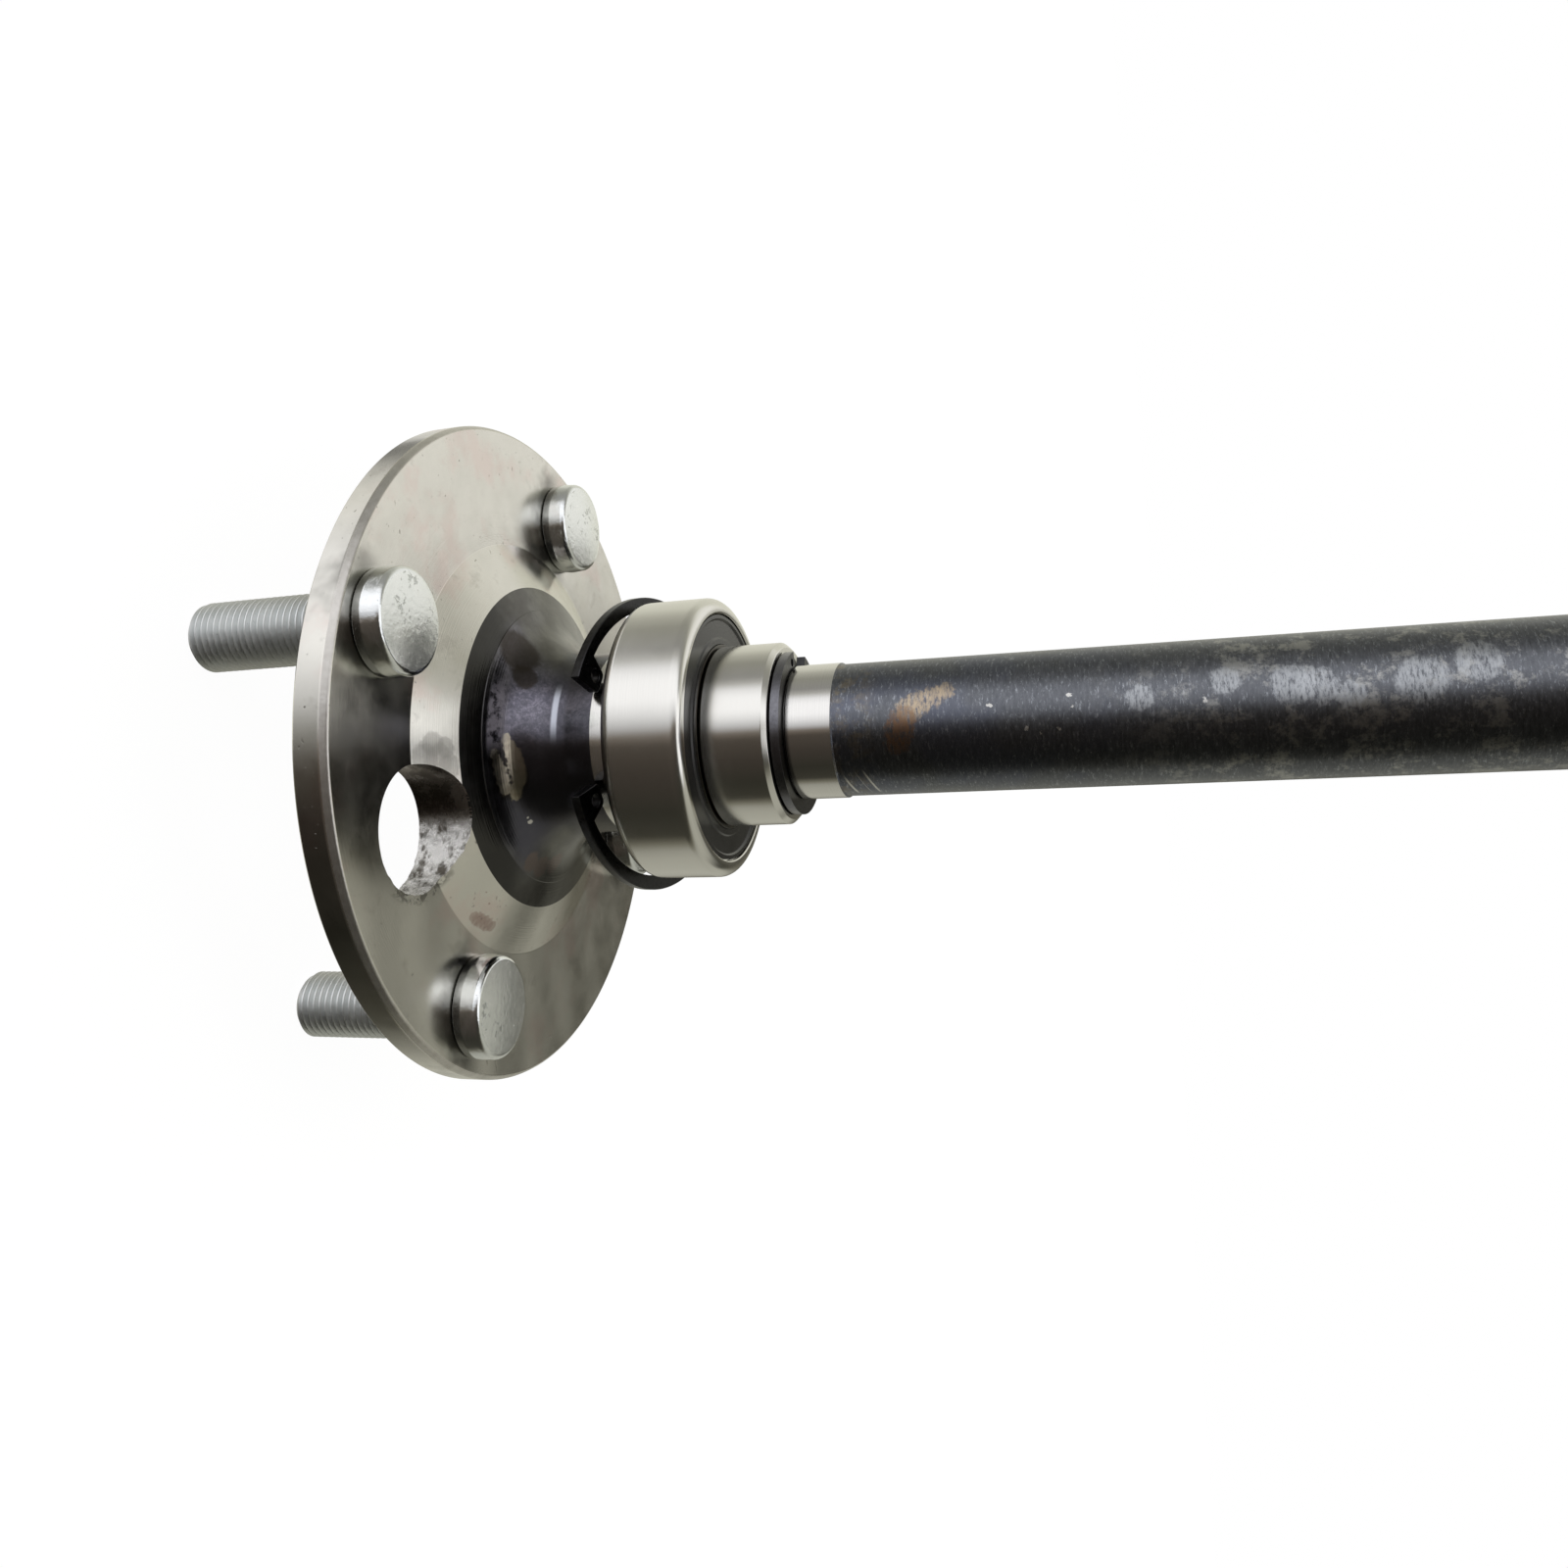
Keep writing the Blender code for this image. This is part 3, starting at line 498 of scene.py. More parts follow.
def near_spot(point, angle, height, radius, reach, ragged):
    """1 at a place on the axle, fading to 0 at reach from it, with an edge as ragged as asked."""
    centre = (*polar(radius, angle), height)
    away = node("VectorMath", {0: point, 1: centre}, operation="DISTANCE")
    loose = math("SUBTRACT", grain(point, 0.9 * MM), 0.5)
    edge = math("MULTIPLY_ADD", loose, ragged, away.outputs["Value"])
    return fade(edge, reach * 1.15, reach * 0.8)


HEAD_SHADE_STARTS, HEAD_SHADE_ENDS = 9.3 * MM, 14.5 * MM   # from the middle of a stud

# Marks on the cone: a smudge beside the access hole, and brown spots below it. Under its colour
# each holds its angle in degrees, its height and radius in mm, and how far it reaches
SMUDGE, BROWN_SPOT = (0.33, 0.32, 0.29, 1), (0.40, 0.30, 0.27, 1)
CONE_MARKS = {
    SMUDGE: [(180.0, 1.2, 37.4, 2.7), (181.0, 2.4, 34.9, 2.9), (183.5, 3.2, 33.2, 2.3),
             (176.5, 1.9, 35.9, 2.2), (177.5, 3.0, 33.6, 1.8)],
    BROWN_SPOT: [(230.5, 1.0, 37.8, 1.1), (232.3, 1.1, 37.6, 1.3), (234.1, 1.2, 37.4, 1.4),
                 (235.9, 1.3, 37.2, 1.4), (237.7, 1.3, 37.1, 1.3), (239.5, 1.4, 37.0, 1.1),
                 (226.0, 1.9, 35.9, 0.25), (228.0, 3.0, 33.7, 0.2), (232.5, 2.6, 34.5, 0.25)],
}


def short_strokes(point):
    """Short shallow strokes that handling left on the face, in loose groups."""
    turned = node("Mapping", {"Vector": point, "Rotation": (0, 0, 0.35),
                              "Scale": (1.0, 0.28, 1.0)})
    strokes = fade(grain(turned.outputs[0], 1.3 * MM, 3.0), 0.33, 0.27)
    groups = fade(grain(point, 12 * MM, 2.0), 0.52, 0.62)
    return times(strokes, groups)


def painted_head_shade(point):
    """Painted shade beside the stud heads, on the camera's side, for their dark reflection.
    The darkening beside the stud heads, taken for a dried film; it may be a reflection.
    """
    head_shade = None
    for angle in STUD_ANGLES:
        centre = (*polar(STUD_CIRCLE_R, angle), FACE)
        off = node("VectorMath", {0: point, 1: centre}, operation="SUBTRACT")
        away = node("VectorMath", {0: off.outputs[0]}, operation="LENGTH")
        part = split(off.outputs[0])
        loose = math("SUBTRACT", grain(point, 5 * MM, 2.0), 0.5)
        edge = math("MULTIPLY_ADD", loose, 6 * MM, away.outputs["Value"])
        near = fade(edge, HEAD_SHADE_ENDS, HEAD_SHADE_STARTS)
        near = times(near, fade(part["X"], 1.5 * MM, -6.0 * MM))
        head_shade = math("MAXIMUM", head_shade, near) if head_shade else near
    return head_shade


def chipped_edge(point):
    """The access hole's lower edge, chipped where the drill broke through."""
    centre = (*polar(ACCESS_CENTRE_R, ACCESS_ANGLE), FACE)
    off = node("VectorMath", {0: point, 1: centre}, operation="SUBTRACT").outputs[0]
    away = node("VectorMath", {0: off}, operation="LENGTH").outputs["Value"]
    part = split(off)
    cracks = fade(grain(point, 1.9 * MM, 6.0, 0.75), 0.49, 0.56)
    rim = times(fade(away, ACCESS_R + 2.2 * MM, ACCESS_R + 0.6 * MM), cracks)
    return times(rim, fade(part["Y"], -0.6 * ACCESS_R, -0.9 * ACCESS_R))


def faced_steel():
    material = finish("faced_flange_steel", (0.70, 0.68, 0.63), 0.25, brushed=0.3)
    point, height, radius = whereabouts(material)
    cloud = grain(point, 14 * MM)
    color = mix(cloud, (0.61, 0.60, 0.55, 1), (0.76, 0.74, 0.68, 1))
    stain = fade(grain(point, 17 * MM, 5.0), 0.50, 0.66)
    color = mix(times(stain, 0.5), color, (0.68, 0.55, 0.51, 1))
    handled = fade(grain(point, 7 * MM, 6.0, 0.7), 0.56, 0.70)
    color = mix(times(handled, 0.35), color, (0.40, 0.38, 0.34, 1))
    for shade, marks in CONE_MARKS.items():
        for angle, z, r, reach in marks:
            mark = near_spot(point, radians(angle), FACE + z * MM, r * MM, reach * MM, 1.2 * MM)
            color = mix(times(mark, 0.6), color, shade)
    # Painted shade beside the stud heads
    color = mix(times(painted_head_shade(point), 0.75), color, (0.09, 0.088, 0.078, 1))
    pits = fade(grain(point, 0.9 * MM, 2.0), 0.30, 0.26)
    crowded = fade(grain(point, 9 * MM), 0.42, 0.58)
    pits = times(pits, crowded)
    dents = short_strokes(point)
    dark = math("MAXIMUM", math("MAXIMUM", pits, dents), chipped_edge(point))
    color = mix(times(dark, 0.75), color, (0.15, 0.14, 0.12, 1))
    rough = math("MULTIPLY_ADD", grain(point, 6 * MM, 6.0), 0.26, 0.09)
    lines = times(tool_lines(radius, 0.22 * MM), 0.010)
    drawn = node("Mapping", {"Vector": point, "Scale": (1.0, 0.45, 1.0)})
    waves = math("MULTIPLY_ADD", grain(drawn.outputs[0], 12 * MM, 0.0), 0.38, lines)
    surface = math("MULTIPLY_ADD", dark, -0.02, waves)
    return dress(material, color, rough, surface, MM)


def ground_steel():
    material = finish("ground_steel", (0.74, 0.73, 0.70), 0.2, brushed=0.5)
    point, height, radius = whereabouts(material)
    lines = tool_lines(height, 0.16 * MM)
    color = mix(lines, (0.66, 0.65, 0.62, 1), (0.80, 0.79, 0.76, 1))
    rough = math("MULTIPLY_ADD", grain(point, 3 * MM), 0.10, 0.09)
    return dress(material, color, rough, lines, 0.004 * MM)


# Where the oxide is thick or worn through to straw and bare metal, and painted shadow and sheen:
# under the colour that shows, the angle in degrees, the height and radius in mm, and the reach
STRAW, BARE = (0.50, 0.45, 0.36, 1), (0.75, 0.73, 0.70, 1)
BROWN_SHEEN, SOOT_AND_SHADE = (0.15, 0.12, 0.108, 1), (0.045, 0.038, 0.032, 1)
WEAR_SHADE_AND_SHEEN = {
    # The first two are painted shadow; the last two are dark soot round the straw patches
    SOOT_AND_SHADE: [(128.0, 7.6, 22.8, 4.6), (140.0, 9.5, 20.6, 2.5), (183.0, 7.8, 22.5, 3.3),
            (194.0, 8.2, 21.9, 3.5)],
    STRAW: [(181.0, 6.9, 24.0, 0.9), (185.0, 7.1, 23.7, 1.2), (189.0, 7.3, 23.3, 1.4),
            (193.0, 7.5, 23.0, 1.4), (197.0, 7.6, 22.8, 1.3), (174.5, 8.2, 21.9, 1.0),
            (178.0, 8.6, 21.4, 1.3), (182.0, 9.0, 20.9, 1.5), (186.0, 9.2, 20.7, 1.6),
            (190.0, 9.3, 20.6, 1.6), (194.0, 9.3, 20.6, 1.6), (198.0, 9.0, 20.9, 1.3),
            (201.5, 8.5, 21.4, 1.2)],
    BARE: [(219.8, 9.1, 20.9, 0.35), (216.5, 9.1, 20.9, 0.22)],
    # Painted sheen: soft brown light streaks low on the flare
    BROWN_SHEEN: [(240.0, 6.8, 24.4, 2.0), (249.0, 6.9, 24.1, 2.2), (259.0, 7.6, 22.8, 2.2)],
}


# A painted highlight: a light band near the neck, on the camera's side, for a turned line's glint
GLINT_FOOT = (FACE + 14.5 * MM, FACE + 15.0 * MM)
GLINT_TOP = (FACE + 16.0 * MM, FACE + 15.6 * MM)


def oxide_flare():
    material = finish("blackened_flare", (0.12, 0.12, 0.11), 0.2)
    point, height, radius = whereabouts(material)
    part = split(point)
    mottle = grain(point, 2.2 * MM, 6.0, 0.7)
    color = mix(mottle, (0.085, 0.083, 0.076, 1), (0.19, 0.187, 0.17, 1))
    sooty = fade(grain(point, 8 * MM, 3.0), 0.40, 0.62)
    color = mix(times(sooty, 0.45), color, (0.045, 0.040, 0.036, 1))
    near = fade(part["X"], -8.0 * MM, -15.0 * MM)
    low = fade(height, FACE + 5.0 * MM, FACE + 7.0 * MM)
    blue = times(near, low)
    color = mix(times(blue, 0.6), color, (0.085, 0.085, 0.125, 1))
    specks = fade(grain(point, 0.8 * MM, 6.0, 0.8), 0.40, 0.68)
    upper = fade(part["Y"], -2.0 * MM, 4.0 * MM)
    specks = times(specks, blue, upper)
    color = mix(times(specks, 0.65), color, (0.27, 0.25, 0.30, 1))
    neck = fade(radius, SHOULDER_R + 1.2 * MM, SHOULDER_R + 0.3 * MM)
    color = mix(times(neck, 0.5), color, (0.06, 0.06, 0.068, 1))
    for shade, places in WEAR_SHADE_AND_SHEEN.items():
        for angle, z, r, reach in places:
            flare_mark = near_spot(point, radians(angle), FACE + z * MM, r * MM, reach * MM, 1.5 * MM)
            color = mix(times(flare_mark, 0.85), color, shade)
    # Painted highlight: the glint band, on the upper camera side
    glint = times(fade(height, *GLINT_FOOT), fade(height, *GLINT_TOP))
    side = times(fade(part["Y"], 0, 5 * MM), fade(part["Y"], 12 * MM, 9 * MM))
    side = times(side, near)
    glint = times(glint, side, 0.8)
    color = mix(glint, color, (0.50, 0.52, 0.58, 1))
    frost = times(fade(radius, 21.5 * MM, 23.5 * MM), fade(radius, 25.9 * MM, 25.2 * MM))
    frost = times(frost, near, upper)
    frost = times(frost, fade(mottle, 0.34, 0.56))
    frost = times(frost, fade(part["Y"], 15 * MM, 9 * MM))
    color = mix(frost, color, (0.30, 0.28, 0.32, 1))
    metallic = math("MULTIPLY_ADD", frost, -0.8, 1.0)
    # Painted reflection: a dark crescent at the flare's foot on the camera's side, for the dark
    # room
    painted_dark_reflection = fade(radius, RIDGE_R - 0.25 * MM, RIDGE_R + 0.15 * MM)
    painted_dark_reflection = times(painted_dark_reflection, fade(part["X"], -9.0 * MM, -18.0 * MM))
    color = mix(times(painted_dark_reflection, 0.85), color, (0.045, 0.044, 0.042, 1))
    rough = math("MULTIPLY_ADD", mottle, 0.20, 0.10)
    lines = tool_lines(radius, 0.35 * MM)
    surface = math("MULTIPLY_ADD", mottle, 0.8, lines)
    return dress(material, color, rough, surface, 0.015 * MM, metallic)


# Bare and stained places along the shaft: under each colour, the angle in degrees, the height
# over the flange's face in mm, and the reach
GOLDEN, BROWNED = (0.52, 0.42, 0.30, 1), (0.25, 0.15, 0.09, 1)
SCRATCHED, PALE = (0.80, 0.79, 0.75, 1), (0.46, 0.48, 0.50, 1)
SHAFT_MARKS = {
    GOLDEN: [(150.0, 85.5, 1.6), (154.0, 83.5, 1.9), (159.0, 81.0, 2.2), (165.0, 79.2, 2.3)],
    BROWNED: [(173.0, 78.2, 2.5), (182.0, 77.4, 2.5), (191.0, 77.0, 2.2)],
    PALE: [(160.0, 140.0, 3.4), (164.0, 143.5, 3.0), (172.0, 148.0, 2.2), (163.0, 158.0, 3.8),
           (150.0, 166.0, 3.4), (155.0, 130.0, 2.4), (165.0, 117.0, 2.2)],
    SCRATCHED: [(170.0, 126.9, 0.5), (160.0, 106.0, 0.3), (165.0, 93.0, 0.28),
                (169.0, 106.5, 0.25), (187.0, 104.0, 0.25), (189.0, 101.0, 0.2),
                (185.0, 99.0, 0.2)],
}


def oxide_shaft():
    material = finish("blackened_shaft", (0.17, 0.17, 0.18), 0.3)
    point, height, radius = whereabouts(material)
    part = split(point)
    around = node("Mapping", {"Vector": point, "Scale": (1, 1, 3.6)}).outputs[0]
    fine = grain(around, 1.9 * MM, 7.0, 0.75)
    color = mix(fine, (0.034, 0.038, 0.042, 1), (0.24, 0.25, 0.275, 1))
    rust = fade(grain(point, 2.4 * MM, 5.0, 0.7), 0.46, 0.62)
    start = fade(height, SEAT_END + 9.0 * MM, SEAT_END + 4.0 * MM)
    rust = times(rust, start)
    color = mix(times(rust, 0.55), color, (0.26, 0.22, 0.15, 1))
    cloud = fade(grain(point, 16 * MM, 3.0), 0.40, 0.60)
    blue = times(cloud, fade(height, FACE + 125 * MM, FACE + 100 * MM))
    color = mix(times(blue, 0.35), color, (0.12, 0.135, 0.20, 1))
    sparks = fade(grain(around, 1.5 * MM, 7.0, 0.8), 0.53, 0.66)
    color = mix(times(sparks, 0.6), color, (0.50, 0.53, 0.57, 1))
    blotch = fade(grain(point, 4.5 * MM, 5.0, 0.75), 0.50, 0.64)
    far_end = fade(height, FACE + 105 * MM, FACE + 135 * MM)
    pale = times(blotch, far_end)
    color = mix(times(pale, 0.6), color, (0.48, 0.48, 0.46, 1))
    broken = fade(fine, 0.36, 0.58)
    for shade, marks in SHAFT_MARKS.items():
        for angle, z, reach in marks:
            mark = near_spot(point, radians(angle), FACE + z * MM, SHAFT_R, reach * MM, 2.4 * MM)
            if reach > 1.0:
                mark = times(mark, broken)
            color = mix(times(mark, 0.75), color, shade)
    color = mix(scored(part), color, SCRATCHED)
    rough = math("MULTIPLY_ADD", fine, 0.25, 0.2)
    lines = tool_lines(height, 0.45 * MM)
    surface = math("MULTIPLY_ADD", fine, 0.8, lines)
    return dress(material, color, rough, surface, 0.03 * MM)


def scored(part):
    """Slanting scratches low on the shaft, right behind the seat."""
    leaning = math("MULTIPLY_ADD", part["Y"], 0.45, part["Z"])
    lines = fade(tool_lines(leaning, 0.8 * MM, 1.0), 0.60, 0.66)
    along = times(fade(part["Z"], SEAT_END + 0.8 * MM, SEAT_END + 1.6 * MM),
                  fade(part["Z"], SEAT_END + 7.5 * MM, SEAT_END + 6.0 * MM))
    low = times(fade(part["Y"], -6.5 * MM, -8.0 * MM), fade(part["Y"], -11.4 * MM, -10.6 * MM))
    return times(along, low, times(lines, 0.7))


def torn_steel():
    material = finish("torn_hole_wall", (0.45, 0.43, 0.39), 0.4)
    point, height, radius = whereabouts(material)
    part = split(point)
    torn_top = ACCESS_CENTRE_R * sin(ACCESS_ANGLE)
    torn = fade(part["Y"], torn_top + 3.0 * MM, torn_top - 2.5 * MM)
    scale = grain(point, 2.6 * MM, 5.0, 0.7)
    smooth_wall = mix(scale, (0.09, 0.070, 0.056, 1), (0.24, 0.21, 0.185, 1))
    ripped = node("Mapping", {"Vector": point, "Scale": (1.0, 0.5, 1.1)}).outputs[0]
    flakes = fade(grain(ripped, 2.6 * MM, 8.0, 0.70), 0.47, 0.62)
    rough_wall = mix(flakes, (0.92, 0.91, 0.88, 1), (0.16, 0.145, 0.12, 1))
    color = mix(torn, smooth_wall, rough_wall)
    pitted = times(grain(ripped, 1.3 * MM, 7.0, 0.75), torn)
    return dress(material, color, math("MULTIPLY_ADD", flakes, 0.25, 0.25), pitted, 0.45 * MM)


def worn_edge():
    material = finish("worn_flange_edge", (0.65, 0.63, 0.59), 0.3, metallic=0.9)
    point, height, radius = whereabouts(material)
    color = mix(grain(point, 2.5 * MM, 5.0), (0.42, 0.40, 0.36, 1), (0.80, 0.78, 0.74, 1))
    return dress(material, color, relief=grain(point, 0.8 * MM), depth=0.03 * MM)


def build_axle():
    axle = lathe("axle", axle_profile(), AXLE_AROUND)
    bottom = FACE - FLANGE_THICK - CLEARANCE
    cutters = [round_cutter(STUD_HOLE_R, *polar(STUD_CIRCLE_R, angle), bottom, FACE + CLEARANCE, 64)
               for angle in STUD_ANGLES]
    cutters.append(torn_cutter(*polar(ACCESS_CENTRE_R, ACCESS_ANGLE), bottom, BEARING_FOOT))
    cutters.append(spline_cutter(frame_top))
    cut_away(axle, cutters)
    finishes = [faced_steel(), oxide_flare(), ground_steel(), oxide_shaft(), torn_steel(),
                worn_edge()]
    for material in finishes:
        axle.data.materials.append(material)
    flare, ground, shaft, torn, edge = range(1, 6)
    access = Vector(polar(ACCESS_CENTRE_R, ACCESS_ANGLE))
    for face in axle.data.polygons:
        z = face.center.z
        on_wall = abs((face.center.xy - access).length - ACCESS_R) < 0.8 * MM
        if on_wall and abs(face.normal.z) < 0.6 and z < FACE + CONE_HEIGHT:
            face.material_index = torn
        elif z > SEAT_END:
            face.material_index = shaft
        elif z > NECK_STARTS:
            face.material_index = ground
        elif z > FACE + CONE_HEIGHT - RIDGE_STEP:
            face.material_index = flare
        elif z > FACE - 1.2 * MM and face.center.xy.length > FLANGE_R - 0.75 * MM:
            face.material_index = edge
    smooth(axle)
    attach(axle, "shaft")
    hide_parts("axle_shaft")


frame_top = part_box("axle_shaft")[1][2]
build_axle()

# The wheel studs: cold-headed alloy steel with rolled threads, plated bright zinc and pressed
# through the flange from its inboard face. What was stamped on the heads is left off.
STUD_LENGTH = 35.0 * MM
STUD_HEAD_R = 9.35 * MM
STUD_HEAD_HEIGHT = 5.6 * MM
STUD_HEAD_LIFT = 0.06 * MM
HEAD_CROWN = 0.55 * MM           # how much lower the head's edge is than its middle
HEAD_DRAFT = 0.3 * MM
STUD_SHOULDER_R = 6.6 * MM
THREAD_R = 5.95 * MM
THREAD_PITCH = 1.25 * MM
THREAD_DEPTH = 0.74 * MM
THREAD_STARTS = -7.6 * MM        # the thread runs from here, below the flange, to the tip
TIP_CHAMFER = 1.2 * MM
STUD_AROUND = 64


def thread_rings():
    """Rings of points down the thread. Ring k starts where ring k - 4 ends, one pitch lower."""
    crest, flank = 0.13 * THREAD_PITCH, 0.32 * THREAD_PITCH
    steps = [(0, 0), (crest, 0), (crest + flank, 1), (THREAD_PITCH - flank, 1)]
    turns = ceil((STUD_LENGTH + THREAD_STARTS) / THREAD_PITCH) + 3
    rings = []
    for turn in range(turns):
        for drop, deep in steps:
            ring = []
            for i in range(STUD_AROUND):
                z = THREAD_STARTS - (turn - 1) * THREAD_PITCH - drop
                z += THREAD_PITCH * i / STUD_AROUND
                fading = max(0, min(1, (THREAD_STARTS - z) / (1.5 * THREAD_PITCH)))
                z = max(-STUD_LENGTH, min(THREAD_STARTS, z))
                r = THREAD_R - THREAD_DEPTH * deep * fading
                r = min(r, THREAD_R - TIP_CHAMFER + (z + STUD_LENGTH))
                ring.append(Vector((*polar(r, 2 * pi * i / STUD_AROUND), z)))
            rings.append(ring)
    return rings


def stud_mesh():
    draft_r = STUD_HEAD_R - HEAD_DRAFT
    crown = [(0, STUD_HEAD_HEIGHT, 0)]
    crown += [(draft_r * i / 6, STUD_HEAD_HEIGHT - HEAD_CROWN * (i / 6) ** 2, 0)
              for i in range(1, 6)]
    head = soft_profile(crown + [
        (draft_r, STUD_HEAD_HEIGHT - HEAD_CROWN, 1.15 * MM),
        (STUD_HEAD_R, STUD_HEAD_LIFT + 1.7 * MM, 1.5 * MM),
        (STUD_HEAD_R - 0.25 * MM, STUD_HEAD_LIFT, 0.35 * MM),
        (STUD_SHOULDER_R, STUD_HEAD_LIFT, 0.15 * MM),
        (STUD_SHOULDER_R, -5.8 * MM, 0.1 * MM), (THREAD_R, -6.4 * MM, 0.1 * MM),
        (THREAD_R, THREAD_STARTS, 0)], 0.3 * MM)
    stud = lathe("stud_pattern", head, STUD_AROUND)
    shape = bmesh.new()
    shape.from_mesh(stud.data)
    rings = [[shape.verts.new(point) for point in ring] for ring in thread_rings()]
    for k in range(5, len(rings)):
        for i in range(STUD_AROUND):
            if i + 1 < STUD_AROUND:
                above, below = rings[k - 1][i + 1], rings[k][i + 1]
            else:
                above, below = rings[k - 5][0], rings[k - 4][0]
            shape.faces.new((rings[k - 1][i], rings[k][i], below, above))
    tip = shape.verts.new((0, 0, -STUD_LENGTH))
    for i in range(STUD_AROUND):
        shape.faces.new((rings[-1][i], tip, rings[-1][(i + 1) % STUD_AROUND]))
    bmesh.ops.remove_doubles(shape, verts=shape.verts, dist=0.002 * MM)
    bmesh.ops.dissolve_degenerate(shape, edges=shape.edges, dist=0.002 * MM)
    bmesh.ops.recalc_face_normals(shape, faces=shape.faces)
    mesh = close_mesh(shape, "wheel_stud")
    bpy.data.objects.remove(stud)
    return mesh


def zinc_plate():
    material = finish("bright_zinc_plate", (0.82, 0.84, 0.84), 0.2)
    point, height, radius = whereabouts(material)
    bloom = grain(point, 2.6 * MM)
    color = mix(bloom, (0.70, 0.73, 0.73, 1), (0.90, 0.91, 0.90, 1))
    fleck = fade(grain(point, 0.7 * MM, 3.0), 0.34, 0.27)
    color = mix(times(fleck, 0.5), color, (0.35, 0.37, 0.38, 1))
    rough = math("MULTIPLY_ADD", bloom, 0.18, 0.06)
    thread = fade(height, 0.001 * MM, THREAD_STARTS)
    rough = math("MULTIPLY_ADD", thread, 0.34, rough)
    return dress(material, color, rough, grain(point, 1.6 * MM), 0.05 * MM)


def hammered_zinc():
    """The heads' faces, matt and dented where the press pushed the studs in."""
    material = finish("hammered_zinc_plate", (0.90, 0.92, 0.90), 0.3, metallic=0.8)
    point, height, radius = whereabouts(material)
    bloom = grain(point, 3.4 * MM, 5.0)
    color = mix(bloom, (0.78, 0.81, 0.78, 1), (0.97, 0.98, 0.96, 1))
    dents = fade(grain(point, 1.2 * MM), 0.43, 0.36)
    dents = times(dents, fade(grain(point, 5 * MM, 2.0), 0.42, 0.52))
    color = mix(times(dents, 0.55), color, (0.36, 0.38, 0.36, 1))
    rough = math("MULTIPLY_ADD", bloom, 0.22, 0.12)
    surface = math("MULTIPLY_ADD", dents, -0.6, grain(point, 1.1 * MM, 5.0))
    return dress(material, color, rough, surface, 0.05 * MM)


def build_studs():
    mesh = stud_mesh()
    mesh.materials.append(zinc_plate())
    mesh.materials.append(hammered_zinc())
    for face in mesh.polygons:
        if face.center.xy.length < STUD_HEAD_R - 1.5 * MM and face.center.z > STUD_HEAD_HEIGHT / 2:
            face.material_index = 1
    for i, angle in enumerate(STUD_ANGLES):
        stud = add_object(f"stud_{i + 1}", mesh)
        stud.location = (*polar(STUD_CIRCLE_R, angle), FACE)
        stud.rotation_euler.z = angle
        smooth(stud)
        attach(stud, "shaft")
        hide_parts(f"wheel_stud_{i + 1}")


build_studs()

# The bearing's outer ring: hardened chrome steel, ground on the outside and on both faces.
# Nothing fixes it here; in the car the axle tube's bore and the housing snap ring hold it.
BEARING_FOOT_Z = FACE + 27.8 * MM
BEARING_TOP_Z = BEARING_FOOT_Z + 15.0 * MM
BEARING_R = 26.0 * MM
BEARING_BORE_R = 12.5 * MM
BEARING_CORNER = 2.15 * MM
BALL_Z = (BEARING_FOOT_Z + BEARING_TOP_Z) / 2
BALL_CIRCLE_R = 19.52 * MM
RACE_R = 4.19 * MM
OUTER_LAND_R = 21.9 * MM
INNER_LAND_R = 17.2 * MM
SEAL_SEAT_R = 23.1 * MM
SEAL_BACK = 1.2 * MM
RING_AROUND = 160


def race_arc(land_r, towards):
    half = acos(abs(land_r - BALL_CIRCLE_R) / RACE_R)
    steps = 16
    return [(BALL_CIRCLE_R + RACE_R * cos(towards + half * (2 * i / steps - 1)),
             BALL_Z + RACE_R * sin(towards + half * (2 * i / steps - 1)))
            for i in range(steps + 1)]


def bearing_steel():
    material = finish("bearing_steel", (0.76, 0.75, 0.71), 0.16, brushed=0.5)
    point, height, radius = whereabouts(material)
    lines = tool_lines(height, 0.12 * MM)
    wipe = grain(point, 7 * MM, 3.0)
    color = mix(lines, (0.68, 0.67, 0.63, 1), (0.80, 0.79, 0.75, 1))
    rough = math("MULTIPLY_ADD", wipe, 0.12, 0.12)
    return dress(material, color, rough, lines, 0.003 * MM)


def painted_dark_corner():
    """The ring's corner towards the flange, painted dark: painted shade for the dark hub it
    mirrors.
    """
    material = finish("painted_dark_corner", (0.34, 0.33, 0.30), 0.28)
    point, height, radius = whereabouts(material)
    color = mix(grain(point, 1.2 * MM), (0.24, 0.23, 0.21, 1), (0.42, 0.41, 0.38, 1))
    return dress(material, color, relief=tool_lines(height, 0.15 * MM), depth=0.004 * MM)


def ring_piece(name, corners, body, cad_node, material, extra=()):
    points = soft_profile(corners, 0.25 * MM)
    points = [tuple(point) for point in points] + list(extra)
    ring = lathe(name, points, RING_AROUND, closed=True)
    ring.data.materials.append(material)
    smooth(ring)
    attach(ring, body)
    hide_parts(cad_node)
    return ring


